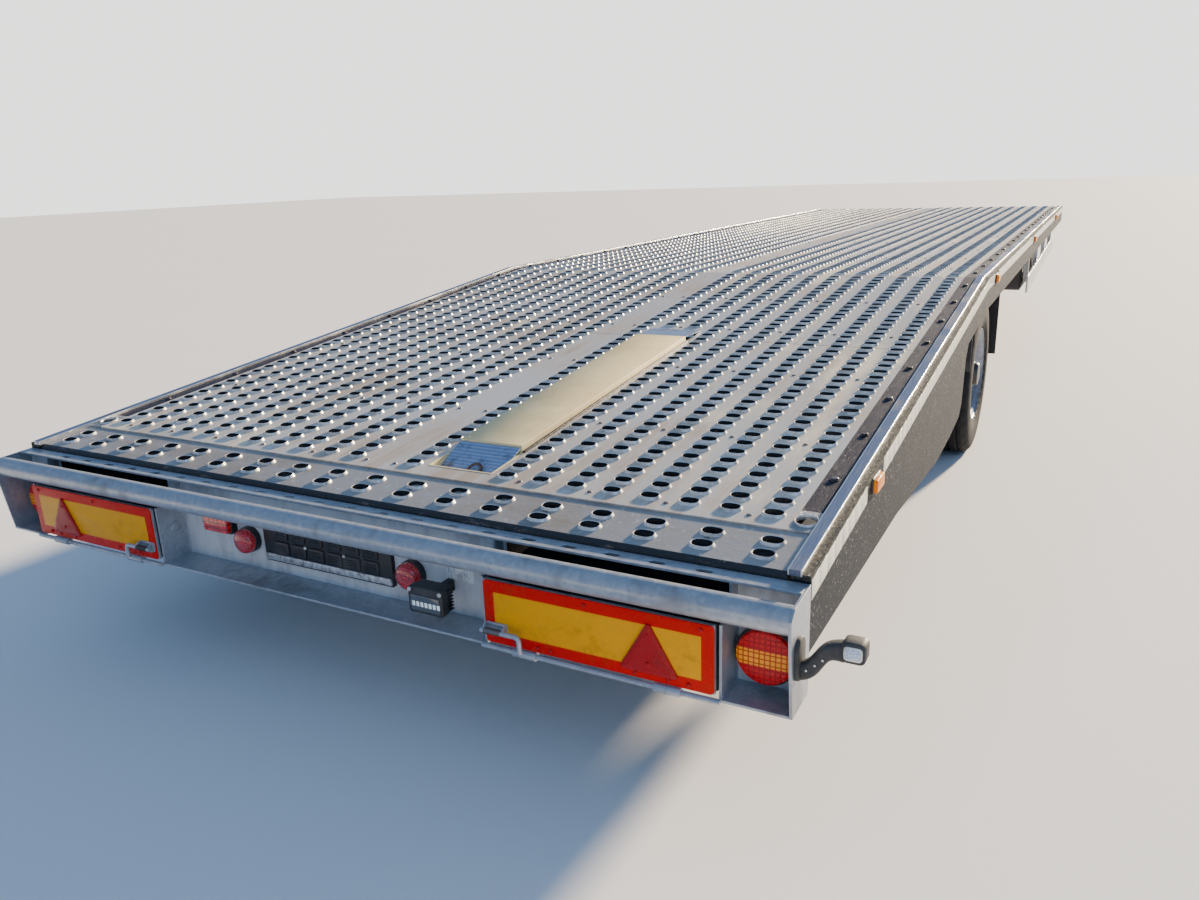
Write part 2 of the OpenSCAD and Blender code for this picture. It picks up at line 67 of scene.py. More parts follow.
def shine(name, kind, energy, colour, towards, **settings):
    """Adds a lamp that shines along towards, with Blender's own settings for its kind."""
    lamp = bpy.data.lights.new(name, kind)
    lamp.energy, lamp.color = energy, colour
    place = settings.pop("place", (0, 0, 5))
    for key, value in settings.items():
        setattr(lamp, key, value)
    thing = bpy.data.objects.new(name, lamp)
    thing.matrix_world = Matrix.Translation(place) @ Vector(towards).to_track_quat("-Z",
                                                                                   "Y").to_matrix().to_4x4()
    bpy.context.scene.collection.objects.link(thing)


shine("warm_sun", "SUN", 15.0, (1.0, 0.83, 0.60), (-0.932, 0.235, -0.275), angle=math.radians(4))
shine("cool_fill", "AREA", 110, (0.40, 0.62, 1.0), (0.75, 0.35, -0.5), place=(-8.5, -4.5, 4.5), size=5.0)
world = bpy.data.worlds.new("studio")
bpy.context.scene.world = world
world.use_nodes = True
sky = world.node_tree.nodes["Background"]
sky.inputs["Color"].default_value = (0.34, 0.57, 1.0, 1)
sky.inputs["Strength"].default_value = 0.60
backdrop = world.node_tree.nodes.new("ShaderNodeBackground")
backdrop.inputs["Color"].default_value = (1.0, 0.99, 0.97, 1)
backdrop.inputs["Strength"].default_value = 2.2
ray, both = (world.node_tree.nodes.new("ShaderNode" + kind) for kind in ("LightPath", "MixShader"))
for start, end in ((ray.outputs["Is Camera Ray"], both.inputs[0]), (sky.outputs[0], both.inputs[1]),
                   (backdrop.outputs[0], both.inputs[2]),
                   (both.outputs[0], world.node_tree.nodes["World Output"].inputs["Surface"])):
    world.node_tree.links.new(start, end)


class Wire:
    """One socket of a material. Arithmetic on it adds Math nodes, and put adds any other node."""

    def __init__(self, tree, socket):
        self.tree, self.socket = tree, socket

    def put(self, kind, settings, values, out=0):
        """Adds a node of a type, sets its settings, then its sockets' values or links."""
        node = self.tree.nodes.new("ShaderNode" + kind)
        for key, value in settings.items():
            setattr(node, key, value)
        for key, value in values.items():
            if isinstance(value, Wire):
                self.tree.links.new(value.socket, node.inputs[key])
            else:
                node.inputs[key].default_value = value
        return Wire(self.tree, node.outputs[out])

    def maths(self, operation, *others):
        """A Math node on this wire and the others."""
        return self.put("Math", {"operation": operation}, dict(enumerate((self, *others))))

    def __add__(self, other):
        return self.maths("ADD", other)

    def __mul__(self, other):
        return self.maths("MULTIPLY", other)

    def __sub__(self, other):
        return self.maths("SUBTRACT", other)

    def __rsub__(self, other):
        return self.put("Math", {"operation": "SUBTRACT"}, {0: other, 1: self})

    def __abs__(self):
        return self.maths("ABSOLUTE")

    def step(self, low, high):
        """Rises smoothly from 0 at low to 1 at high."""
        return self.put("MapRange", {"interpolation_type": "SMOOTHSTEP"},
                        {"Value": self, "From Min": low, "From Max": high})

    def mix(self, low, high):
        """Blends two colours, from low where the wire is 0 to high where it is 1."""
        ends = [(*c, 1) if isinstance(c, tuple) else c for c in (low, high)]
        return self.put("Mix", {"data_type": "RGBA"}, {0: self, 6: ends[0], 7: ends[1]}, out=2)

    def stretch(self, x, y, z):
        return self.put("Mapping", {}, {"Vector": self, "Scale": (x, y, z)})

    def noise(self, scale, detail=3, roughness=0.5):
        return self.put("TexNoise", {}, {"Vector": self, "Scale": scale, "Detail": detail,
                                         "Roughness": roughness})

    def cells(self, scale, out=0, feature="F1"):
        return self.put("TexVoronoi", {"feature": feature}, {"Vector": self, "Scale": scale}, out)

    def comb(self, scale, low, high):
        """Moulded cells: 1 inside each one, and 0 along the lines between them."""
        return self.cells(scale, feature="DISTANCE_TO_EDGE").step(low, high)

    def waves(self, length):
        """A sine of the wire, one wave to each length."""
        return (self * (2 * math.pi / length)).maths("SINE")

    def dots(self, other, low, high):
        """A square grid of dots in the plane of two wires, one to each unit."""
        one, two = (wire.maths("PINGPONG", 0.5).step(low, high) for wire in (self, other))
        return one * two

    def part(self, axis):
        """One of the three coordinates of a vector."""
        return self.put("SeparateXYZ", {}, {"Vector": self}, "XYZ".index(axis))


def finish(name, pattern, **plain):
    """A material whose plain numbers are set on the shader, and whose pattern(point) gives wires
    for its other sockets, with Bump as a pair of height and depth in metres."""
    made = bpy.data.materials.new(name)
    made.use_nodes = True
    tree = made.node_tree
    shader = tree.nodes["Principled BSDF"]
    for key, value in plain.items():
        shader.inputs[key.replace("_", " ")].default_value = value
    point = Wire(tree, tree.nodes.new("ShaderNodeTexCoord").outputs["Object"])
    for key, wire in pattern(point).items():
        if key == "Bump":
            height, depth = wire
            key, wire = "Normal", height.put("Bump", {},
                                             {"Strength": 1.0, "Distance": depth, "Height": height})
        tree.links.new(wire.socket, shader.inputs[key])
    return made


def painted(**plain):
    """Turns a pattern into the material of the same name."""
    return lambda pattern: finish(pattern.__name__, pattern, **plain)


def floor_look(point):
    return {"Base Color": point.noise(0.4, 2).mix((0.90, 0.87, 0.83), (0.93, 0.90, 0.86))}


floor_mesh = bpy.data.meshes.new("floor")
floor_mesh.from_pydata([(-60, -60, 0), (60, -60, 0), (60, 60, 0), (-60, 60, 0)], [], [(0, 1, 2, 3)])
floor_mesh.materials.append(finish("floor_matt", floor_look, Roughness=0.9))
floor = bpy.data.objects.new("floor", floor_mesh)
bpy.context.scene.collection.objects.link(floor)


# ---------------------------------------------------------------------------------------------
# Chassis: two welded main rails, pressed cross members, a front beam and the coupling plate, all
# in dark sprayed paint that road dust has dulled.

def recoat(material, *names):
    """Gives CAD nodes a finish."""
    for name in names:
        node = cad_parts[name]
        node.data.materials.clear()
        node.data.materials.append(material)


def ease_edges(width, *names):
    """Joins a CAD node's loose triangles and rounds its sharp edges."""
    for name in names:
        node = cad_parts[name]
        node.modifiers.new("weld", "WELD").merge_threshold = 0.00002
        bevel = node.modifiers.new("ease", "BEVEL")
        bevel.width, bevel.segments, bevel.limit_method = width, 2, "ANGLE"
        bevel.angle_limit = math.radians(50)
        bevel.harden_normals = True


@painted()
def chassis_paint(point):
    dust = (point.noise(3, 5, 0.6) * 0.7 + point.stretch(1, 1, 0.2).noise(9) * 0.3).step(0.42, 0.72)
    return {"Base Color": dust.mix((0.020, 0.022, 0.026), (0.075, 0.072, 0.068)),
            "Roughness": dust * 0.3 + 0.42, "Bump": (point.noise(160, 2), 0.0006)}


recoat(chassis_paint, "main_rails", "cross_members", "front_beam", "coupling_plate", "ramp_shafts")
ease_edges(0.002, "front_beam", "coupling_plate")


# ---------------------------------------------------------------------------------------------
# Deck sheets: pickled steel sheet with rows of pressed slots, each with a raised collar that grips
# a tyre. Eight sheets are screwed side by side to the cross members, with a seam on the centre line.

def box(name):
    """A CAD node's lowest and highest corner."""
    return np.array(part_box(name))


def middle(name):
    """The middle of a CAD node's box and its half sizes."""
    low, high = box(name)
    return (low + high) / 2, (high - low) / 2


deck_low, deck_high = box("deck_front")
tail_low = box("deck_tail")[0]
fold_x, front_x, deck_z, sheet_y = deck_low[0], deck_high[0], deck_high[2], deck_high[1]
sheet_t = deck_high[2] - deck_low[2]
fall = math.atan((deck_z - tail_low[2] - sheet_t) / (fold_x - tail_low[0]))
front_l = front_x - fold_x
tail_sheet_l = (fold_x - tail_low[0]) / math.cos(fall)


def deck_place(points):
    """Points drawn as (distance ahead of the fold, y, height over the sheet) in their real place:
    level ahead of the fold, and turned down by the fall behind it."""
    s, y, h = np.moveaxis(np.asarray(points, float), -1, 0)
    turn = np.where(s < 0, fall, 0.0)
    return np.stack([fold_x + s * np.cos(turn) - h * np.sin(turn), y,
                     deck_z + s * np.sin(turn) + h * np.cos(turn)], -1)


def stack(rings, caps=True, loop=False):
    """Closed skin over rings of points, (levels, points, 3), that run anticlockwise as seen from
    the side they rise to: point i of level k joins i + 1 and level k + 1, with a flat face over
    each end, or with the last ring joined to the first."""
    rings = np.asarray(rings, float)
    levels, count = rings.shape[:2]
    k, i = np.meshgrid(np.arange(levels if loop else levels - 1), np.arange(count), indexing="ij")
    here, after, j = k * count, (k + 1) % levels * count, (i + 1) % count
    faces = np.stack([here + i, here + j, after + j, after + i], -1).reshape(-1, 4).tolist()
    if caps and not loop:
        faces += [list(range(count))[::-1], list(range((levels - 1) * count, levels * count))]
    return rings.reshape(-1, 3), faces


def repeated(shape, places):
    """Copies of a shape, moved by each row of places."""
    points, faces = shape
    places = np.asarray(places, float).reshape(-1, 3)
    many = (points[None] + places[:, None]).reshape(-1, 3)
    count = len(points)
    return many, [[v + n * count for v in face] for n in range(len(places)) for face in faces]


replaced = set()


def make(name, parts, body="root", replaces=(), crease=40):
    """One piece from parts, each a shape and its finish. Edges sharper than crease degrees stay
    sharp. Where two pieces stand for one CAD node, the first replaces it."""
    points, faces, finishes, which = [], [], [], []
    for (part_points, part_faces), look in parts:
        if look not in finishes:
            finishes.append(look)
        base = sum(len(p) for p in points)
        points.append(part_points)
        faces += [[v + base for v in face] for face in part_faces]
        which += [finishes.index(look)] * len(part_faces)
    mesh = bpy.data.meshes.new(name)
    mesh.from_pydata(np.concatenate(points).tolist(), [], faces)
    mesh.polygons.foreach_set("material_index", which)
    mesh.polygons.foreach_set("use_smooth", [True] * len(faces))
    mesh.set_sharp_from_angle(angle=math.radians(crease))
    for look in finishes:
        mesh.materials.append(look)
    mesh.update()
    thing = bpy.data.objects.new(name, mesh)
    bpy.context.scene.collection.objects.link(thing)
    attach(thing, body)
    new = [node for node in replaces if node not in replaced]
    if new:
        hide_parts(*new)
        replaced.update(new)


def punched(row_s, column_y, half_s, half_y, slot_r, slot_half, rise, thick, present=None, level=0.0):
    """A sheet of cells, each a slot with a raised collar. A cell is six rings of twelve points: its
    edge on top, the foot and the crest of the collar, the slot's lip, the slot's lower edge and
    the cell's edge below. A cell with no neighbour on a side gets a wall there. It returns the
    flat bands, the collars and the slots' inner walls as three shapes."""
    third = 1 / 3
    edge = np.array([(1, 1), (third, 1), (-third, 1), (-1, 1), (-1, third), (-1, -third), (-1, -1),
                     (-third, -1), (third, -1), (1, -1), (1, -third), (1, third)]) * (half_s, half_y)

    def oblong(r):
        s1, c1, s2, c2 = (f(math.radians(a)) for a in (55, 20) for f in (math.sin, math.cos))
        quarter = [(r * s1, slot_half + r * c1), (r * s2, slot_half + r * c2)]
        left = [(-x, y) for x, y in quarter[::-1]] + [(-r, slot_half), (-r, -slot_half)]
        foot = [(-x, -y) for x, y in quarter]
        right = [(x, -y) for x, y in quarter[::-1]] + [(r, -slot_half), (r, slot_half)]
        return np.array(quarter + left + foot + right)

    foot_w, crest_w, lip = 5.5 * MM, 2 * MM, 1 * MM
    rings = [(edge, 0), (oblong(slot_r + foot_w), 0), (oblong(slot_r + crest_w), rise),
             (oblong(slot_r), rise - lip), (oblong(slot_r), -thick), (edge, -thick)]
    cell = np.concatenate([np.column_stack([ring, np.full(12, level + h)]) for ring, h in rings])
    rows, columns = np.meshgrid(np.arange(len(row_s)), np.arange(len(column_y)), indexing="ij")
    present = np.ones(rows.shape, bool) if present is None else present
    r, c = rows[present], columns[present]
    places = np.column_stack([np.asarray(row_s)[r], np.asarray(column_y)[c], np.zeros(len(r))])
    points = (cell[None] + places[:, None]).reshape(-1, 3)
    base = np.arange(len(r))[:, None, None] * len(cell)
    i = np.arange(12)
    j = (i + 1) % 12

    def band(k):
        return (np.stack([k * 12 + i, k * 12 + j, (k + 1) * 12 + j, (k + 1) * 12 + i], -1)[None]
                + base).reshape(-1, 4)

    padded = np.pad(present, 1)
    sides = {(0, 1): 0, (-1, 0): 3, (0, -1): 6, (1, 0): 9}
    walls = []
    for (dr, dc), first in sides.items():
        bare = ~padded[r + 1 + dr, c + 1 + dc]
        for a in range(first, first + 3):
            b = (a + 1) % 12
            quad = np.array([a, 60 + a, 60 + b, b])
            walls.append(quad[None] + base[bare, 0])
    flat = np.concatenate([band(0), band(4), *walls])
    collar = np.concatenate([band(1), band(2)])
    points = deck_place(points)
    return (points, flat.tolist()), (points, collar.tolist()), (points, band(3).tolist())


def strip(s0, s1, y0, y1, low=-sheet_t, high=0):
    """A plain stretch of sheet between two distances, two sides and two heights."""
    corners = [(s0, y0), (s1, y0), (s1, y1), (s0, y1)]
    return stack(deck_place([[(*c, h) for c in corners] for h in (low, high)]))


# The tail sheet is in two lengths, with a dark line where they meet
joint_x = fold_x - 1.16


# Warm cream patches in the sheet steel are painted glare, painted highlights of the low sun on the deck, and
# they also lower its roughness there.
@painted()
def sheet_steel(point):
    rolled = point.stretch(0.7, 13, 4).noise(2.4, 5, 0.6)
    cloud = point.noise(1.3, 6, 0.62)
    patch = point.stretch(0.6, 1.6, 1).noise(1.9, 5, 0.6).step(0.52, 0.66)
    stain = (cloud * 0.65 + rolled * 0.35).step(0.44, 0.62)
    joint = 1 - abs(point.part("X") - joint_x).step(0.0016, 0.0030)
    scuff = point.stretch(3, 40, 3).noise(6, 4, 0.7).step(0.56, 0.70)
    clean = scuff.mix((0.72, 0.665, 0.585), (0.84, 0.79, 0.70))
    steel = patch.mix(stain.mix(clean, (0.46, 0.365, 0.27)), (0.92, 0.78, 0.56))
    return {"Base Color": joint.mix(steel, (0.12, 0.11, 0.10)),
            "Metallic": 0.42 - stain * 0.25, "Roughness": stain * 0.17 + rolled * 0.14 - patch * 0.08 + 0.28,
            "Bump": (rolled * 0.7 + point.stretch(30, 300, 30).noise(1) * 0.3, 0.0012)}


@painted(Metallic=0.2)
def collar_steel(point):
    worn = point.noise(24, 3).step(0.35, 0.62)
    return {"Base Color": worn.mix((0.44, 0.41, 0.37), (0.72, 0.69, 0.63)),
            "Roughness": 0.46 - worn * 0.16, "Bump": (point.noise(220, 2), 0.0003)}


# The near-black of the slots' inner walls is painted shade, so that the slots read dark. The crust noise only
# varies it a little.
@painted()
def slot_dark(point):
    crust = point.noise(70, 4, 0.65).step(0.40, 0.64)
    return {"Base Color": crust.mix((0.010, 0.010, 0.012), (0.034, 0.026, 0.020)),
            "Roughness": crust * 0.3 + 0.6, "Bump": (crust, 0.0006)}


pitch_s, pitch_y, seam = 62 * MM, 100 * MM, 0.6 * MM
tail_row_count, front_row_count = 40, 101
slot_r, slot_half, collar_rise = 14.5 * MM, 8 * MM, 7 * MM
columns = np.arange(1, 12) * pitch_y
tail_rows = np.arange(tail_row_count) * pitch_s - 2490 * MM
cover_low, cover_high = box("cover_plate")


def tail_s(x, h):
    """Distance from the fold of a point at x and height h over the tail."""
    return (x - fold_x + h * math.sin(fall)) / math.cos(fall)


def deck_sheet(name, node, rows, ys, strips, open_cell=None):
    """A length of slotted deck and its plain strips, as one piece."""
    flat, collars, walls = punched(rows, ys, pitch_s / 2, pitch_y / 2, slot_r, slot_half, collar_rise,
                                   sheet_t, open_cell)
    parts = [(flat, sheet_steel), (collars, collar_steel), (walls, slot_dark)]
    make(name, parts + [(strip(*ends), sheet_steel) for ends in strips], replaces=[node])


cover_s0 = tail_s(box("cover_ends")[0][0], 0)
cover_s1 = cover_s0 + 1430 * MM
for side, hand in SIDES:
    ys = np.sort(side * columns)
    open_cell = np.ones((len(tail_rows), len(ys)), bool)
    rows_start, rows_end = tail_rows[0] - pitch_s / 2, tail_rows[-1] + pitch_s / 2
    strips = []
    if side < 0:
        over = (ys > cover_low[1]) & (ys < cover_high[1])
        beside = tail_rows < cover_s1 + pitch_s / 2
        open_cell[np.ix_(beside, over)] = False
        edge_s = tail_rows[beside].max() + pitch_s / 2
        strips = [(cover_s1, edge_s, cover_low[1], cover_high[1]),
                  (rows_start, cover_s0, cover_low[1], cover_high[1])]
    mid = sorted((side * seam, side * pitch_y / 2))
    outer = sorted((side * seam, side * sheet_y))
    strips += [(rows_start, rows_end, *mid), (rows_end, -seam, *outer), (-tail_sheet_l, rows_start, *outer)]
    deck_sheet("deck_tail_" + hand, "deck_tail", tail_rows, ys, strips, open_cell)
    front_rows = pitch_s / 2 + np.arange(front_row_count) * pitch_s
    for number, (first, last) in enumerate(((0, 34), (34, 68), (68, front_row_count)), 1):
        rows = front_rows[first:last]
        ends = rows[0] - pitch_s / 2, rows[-1] + pitch_s / 2
        strips = [(*ends, *mid)]
        if last == front_row_count:
            strips.append((ends[1], front_l, *outer))
        deck_sheet(f"deck_front_{hand}_{number}", "deck_front", rows, ys, strips)


# ---------------------------------------------------------------------------------------------
# Screws: domed heads that hold the sheets down, in lines across the deck at the cross members,
# browned by rust.

def ring_of(count, radius, turn=0.0):
    """count points on a circle, anticlockwise: radius times (cos, sin) of equal steps."""
    angle = np.arange(count) * 2 * np.pi / count + turn
    return radius * np.column_stack([np.cos(angle), np.sin(angle)])


def levels(outlines):
    """Rings from pairs of a flat outline and its height."""
    return np.array([np.column_stack([outline, np.full(len(outline), h)]) for outline, h in outlines])


def set_at(shape_points, origin, across, up):
    """Turns points drawn as (across, up, out) into place, where out is across x up."""
    a, b = np.asarray(across, float), np.asarray(up, float)
    shape_points = np.asarray(shape_points, float)
    turned = shape_points @ np.array([a, b, np.cross(a, b)])
    return np.asarray(origin, float) + turned


def placed(shape, origin, across, up):
    return set_at(shape[0], origin, across, up), shape[1]


def at(look, shape, origin, across=(0, -1, 0), up=(0, 0, 1)):
    """A part for make: a shape in a finish, set down facing the rear unless told otherwise."""
    return placed(shape, origin, across, up), look


def on_deck(look, shape, offset=(0, 0, 0)):
    """A part for make that is drawn as distance, y and height over the sheet."""
    return (deck_place(shape[0] + np.asarray(offset, float)), shape[1]), look


def lathe(count, profile, unit=MM):
    """A turned solid from pairs of radius and height, in the given unit."""
    return stack(levels([(ring_of(count, r * unit), h * unit) for r, h in profile]))


@painted()
def rusty_screw(point):
    rust = point.noise(30, 4, 0.7).step(0.4, 0.62)
    return {"Base Color": rust.mix((0.20, 0.19, 0.18), (0.17, 0.085, 0.045)), "Metallic": 0.7 - rust * 0.6,
            "Roughness": rust * 0.35 + 0.42, "Bump": (point.noise(300, 3), 0.0005)}


screw = lathe(8, [(7, 0), (6, 2), (3, 2.8)])
screw_ys = np.concatenate([-np.arange(1, 12, 2) * pitch_y + 50 * MM, np.arange(1, 12, 2) * pitch_y - 50 * MM])
# Lines of screws, as distances from the fold
tail_lines = np.array([-2.5095, -2.0755, -1.5175, -1.0215, -0.5255])
front_lines = pitch_s * np.arange(5, front_row_count, 8)
spots = np.array([(s, y, 0.0) for s in (*tail_lines, *front_lines) for y in screw_ys])
cover_reach = (cover_high[1] - cover_low[1]) / 2 + 10 * MM
under_cover = (np.abs(spots[:, 1] - (cover_low[1] + cover_high[1]) / 2) < cover_reach) & (spots[:,
                                                                                                0] < cover_s1)
make("deck_screws", [on_deck(rusty_screw, repeated(screw, spots[~under_cover]))])


# ---------------------------------------------------------------------------------------------
# Apron: a thicker bent plate behind the sheets, a step lower, with two rows of bigger slots and a
# rounded nose that turns down at the rear. Two halves meet on the centre line.

apron_low, apron_high = box("apron")
apron_y = apron_high[1]
apron_end = tail_s(apron_low[0], 0)
nose_r, apron_step, lip_drop = 13 * MM, 4 * MM, 26 * MM
apron_rows = np.array([-2666, -2606]) * MM
apron_pitch = apron_y / 9
apron_columns = apron_pitch * (np.arange(9) + 0.5)


@painted()
def apron_steel(point):
    wipe = point.stretch(9, 1.2, 4).noise(3, 5, 0.65)
    mud = (point.noise(2.1, 6, 0.65) * 0.7 + wipe * 0.3).step(0.42, 0.66)
    chips = point.noise(42, 4, 0.7).step(0.60, 0.68)
    steel = chips.mix((0.38, 0.36, 0.335), (0.60, 0.58, 0.55))
    return {"Base Color": mud.mix(steel, (0.21, 0.175, 0.14)),
            "Metallic": 0.40 - mud * 0.2, "Roughness": mud * 0.22 + wipe * 0.12 + 0.26,
            "Bump": (wipe * 0.6 + point.noise(90, 3) * 0.4, 0.0012)}


@painted()
def nose_steel(point):
    scrape = point.stretch(4, 1, 4).noise(14, 5, 0.7).step(0.56, 0.66)
    return {"Base Color": scrape.mix((0.030, 0.028, 0.028), (0.16, 0.13, 0.11)),
            "Metallic": scrape * 0.6 + 0.3, "Roughness": 0.5 - scrape * 0.12,
            "Bump": (point.noise(120, 4, 0.7), 0.0018)}


def across_deck(line, y0, y1):
    """A bar across the deck whose section is a line of (distance, height) points."""
    return stack(deck_place([np.insert(line, 1, y, axis=1) for y in (y0, y1)]))


def nosing(y0, y1):
    """The bent edge as a bar of the plate's thickness: its outer line goes back at the top, round
    a quarter circle of nose_r and down to the lip, and its inner line comes back up."""
    bend = np.radians(np.linspace(90, 180, 6))
    centre = np.array([apron_end + nose_r, -apron_step - nose_r])
    outer = centre + nose_r * np.column_stack([np.cos(bend), np.sin(bend)])
    inner = centre + (nose_r - sheet_t) * np.column_stack([np.cos(bend), np.sin(bend)])
    line = np.vstack([outer, [apron_end, -lip_drop], [apron_end + sheet_t, -lip_drop], inner[::-1]])
    return across_deck(line, y0, y1)


for side, hand in SIDES:
    ys = np.sort(side * apron_columns)
    inside, outside = sorted((side * seam, side * apron_y))
    flat, collars, walls = punched(apron_rows, ys, 30 * MM, apron_pitch / 2, 15.5 * MM, 8 * MM, 6.5 * MM,
                                   sheet_t, level=-apron_step)
    low, high = -apron_step - sheet_t, -apron_step
    edge_back, edge_front = apron_rows[0] - 30 * MM, apron_rows[1] + 30 * MM
    parts = [(flat, apron_steel), (collars, collar_steel), (walls, slot_dark),
             (nosing(inside, outside), nose_steel)]
    parts += [(strip(edge_front, -tail_sheet_l - 1 * MM, inside, outside, low, high), apron_steel),
              (strip(apron_end + nose_r, edge_back, inside, outside, low, high), apron_steel)]
    apron_screws = repeated(screw, [(apron_rows.mean(), side * y, -apron_step) for y in (0.2, 0.6, 1.0)])
    parts.append(on_deck(rusty_screw, apron_screws))
    make("apron_" + hand, parts, replaces=["apron"])


# ---------------------------------------------------------------------------------------------
# Edge bars: dark flat bars along both sides, bolted down every 300 mm. The last stretch is a bare
# corner piece with a rolled ring round the stake hole.

bar_low, bar_high = box("edge_bars")
rail_high = box("edge_rails")[1]
bar_w = bar_high[1] - sheet_y
bar_mid = sheet_y + bar_w / 2
stake_s, stake_r, corner_l = -2502 * MM, 23 * MM, 96 * MM


@painted(Specular_IOR_Level=0.2)
def bar_paint(point):
    corner = 1 - point.part("X").step(bar_low[0] + corner_l, bar_low[0] + corner_l + 0.002)
    scratch = point.stretch(4, 60, 4).noise(5, 4, 0.7).step(0.60, 0.70)
    grit = point.noise(300, 2).step(0.55, 0.66)
    paint = (grit * 0.5 + scratch * 0.5).mix((0.014, 0.012, 0.024), (0.060, 0.055, 0.078))
    bare = point.noise(20, 4).step(0.4, 0.65).mix((0.36, 0.34, 0.31), (0.62, 0.60, 0.57))
    return {"Base Color": corner.mix(paint, bare), "Metallic": corner * 0.55 + 0.15,
            "Roughness": 0.48 - corner * 0.1 + grit * 0.1, "Bump": (grit, 0.0005)}


@painted(Metallic=0.6)
def dark_bolt(point):
    wear = point.noise(40, 3).step(0.45, 0.6)
    return {"Base Color": wear.mix((0.035, 0.033, 0.036), (0.17, 0.15, 0.14)),
            "Roughness": 0.55 - wear * 0.15, "Bump": (point.noise(260, 2), 0.0003)}


recoat(bar_paint, "edge_bars")
hex_bolt = lathe(12, [(12, 0), (12, 1.5), (9, 1.6), (9, 5), (7.5, 6.5)])
bar_spots = [(s, side * bar_mid, 0.0) for side in (1, -1)
             for s in np.concatenate([-np.arange(0.17, 2.4, 0.3), np.arange(0.15, front_l, 0.3)])]
ring_steps = ((stake_r, 0.3), (stake_r + 1 * MM, 4), (stake_r + 2.6 * MM, 4.6), (stake_r + 4 * MM, 3.4),
              (stake_r + 5.5 * MM, 0.3))
stake_parts = [on_deck(dark_bolt, repeated(hex_bolt, bar_spots))]
for side in (1, -1):
    rings = levels([(ring_of(32, r)[::-1], h * MM) for r, h in ring_steps]
                   + [(ring_of(32, stake_r)[::-1], 0.3 * MM)])
    stake_parts.append(on_deck(collar_steel, stack(rings, False), (stake_s, side * bar_mid, 0)))
make("edge_bar_bolts", stake_parts)


# ---------------------------------------------------------------------------------------------
# Edge rails: bright drawn rails that stand a little over the deck on both sides, worn by ropes
# and straps, with painted highlights along their edges and painted sky reflection between them.

# The bright lines along both edges of the rail top are painted highlights, and the blue-grey between them is
# painted sky reflection. The dull noise is real wear and dirt.
@painted(Metallic=0.9)
def drawn_rail(point):
    drawn = point.stretch(0.6, 60, 60).noise(3, 4, 0.6)
    edge = abs(abs(point.part("Y")) - (rail_high[1] - 15 * MM)).step(0.0105, 0.0125)
    dull = point.noise(5, 5, 0.6).step(0.45, 0.66)
    return {"Base Color": edge.mix(dull.mix((0.26, 0.30, 0.40), (0.17, 0.18, 0.24)), (0.85, 0.83, 0.78)),
            "Roughness": dull * 0.2 + drawn * 0.14 - edge * 0.1 + 0.26, "Bump": (drawn, 0.0008)}


recoat(drawn_rail, "edge_rails")
ease_edges(0.0015, "edge_rails")


# ---------------------------------------------------------------------------------------------
# Side beams and skirts: folded steel in textured anthracite paint, wet with dew and streaked. Where
# they face up, droplets stand on them.

@painted(Specular_IOR_Level=0.12)
def anthracite_paint(point):
    run = point.stretch(26, 26, 1.1).noise(2.2, 4, 0.6)
    film = (point.noise(2.6, 5, 0.6) * 0.6 + run * 0.4).step(0.40, 0.66)
    drops = point.noise(150, 2, 0.6).step(0.60, 0.68)
    grain = point.noise(420, 2)
    slope = (point.part("X") - fold_x).maths("MINIMUM", 0.0) * math.tan(fall)
    top_band = (point.part("Z") - slope).step(deck_z - 0.013, deck_z - 0.009)
    mottle = point.noise(95, 3, 0.7).step(0.44, 0.62)
    wet = film.mix((0.005, 0.008, 0.014), (0.019, 0.023, 0.030))
    wet = (drops * 0.5).mix(wet, (0.20, 0.20, 0.19))
    return {"Base Color": (top_band * mottle).mix(wet, (0.085, 0.080, 0.052)),
            "Roughness": 0.56 - drops * 0.26 + film * 0.14, "Bump": (drops * 0.7 + grain * 0.3, 0.0016)}


recoat(anthracite_paint, "side_beams", "skirts")


# ---------------------------------------------------------------------------------------------
# Marking tape: white reflective tape in short lengths along the top of both side beams, left out
# at the amber side marker lamps. A lamp is an amber lens welded on to a thin black foot.

beam_low, beam_high = box("side_beams")
beam_y = beam_high[1]


@painted(Coat_Weight=0.4)
def tape_white(point):
    facet = point.comb(330, 0.02, 0.10)
    dirt = point.stretch(3, 3, 1).noise(11, 4, 0.65).step(0.46, 0.70)
    line = point.part("X").waves(14 * MM).step(0.80, 0.97)
    clean = (line * 0.6).mix(facet.mix((0.64, 0.66, 0.50), (0.82, 0.83, 0.66)), (0.26, 0.27, 0.22))
    return {"Base Color": dirt.mix(clean, (0.52, 0.52, 0.42)), "Roughness": dirt * 0.3 + 0.22,
            "Bump": (facet, 0.0003)}


def rounded(a, b, r, n=4):
    """Outline of a rectangle 2a by 2b whose corners are arcs of radius r, anticlockwise."""
    arc = np.radians(np.linspace(0, 90, n))
    turns = [(1, 1, 0), (-1, 1, 90), (-1, -1, 180), (1, -1, 270)]
    return np.concatenate([np.column_stack([sx * (a - r) + r * np.cos(arc + math.radians(t)),
                                            sy * (b - r) + r * np.sin(arc + math.radians(t))])
                           for sx, sy, t in turns])


def pad(a, b, depth, corner, ease, n=4):
    """A plate with rounded corners and an eased outer edge, from its back at 0 out to depth. Its
    half sizes a and b are in metres, and the rest in mm."""
    depth, corner, ease = depth * MM, corner * MM, ease * MM
    half = ease * 0.3
    return stack(levels([(rounded(a, b, corner, n), 0), (rounded(a, b, corner, n), depth - ease),
                         (rounded(a - half, b - half, corner - half * 0.5, n), depth - half),
                         (rounded(a - ease, b - ease, max(corner - ease, 0.2 * MM), n), depth)]))


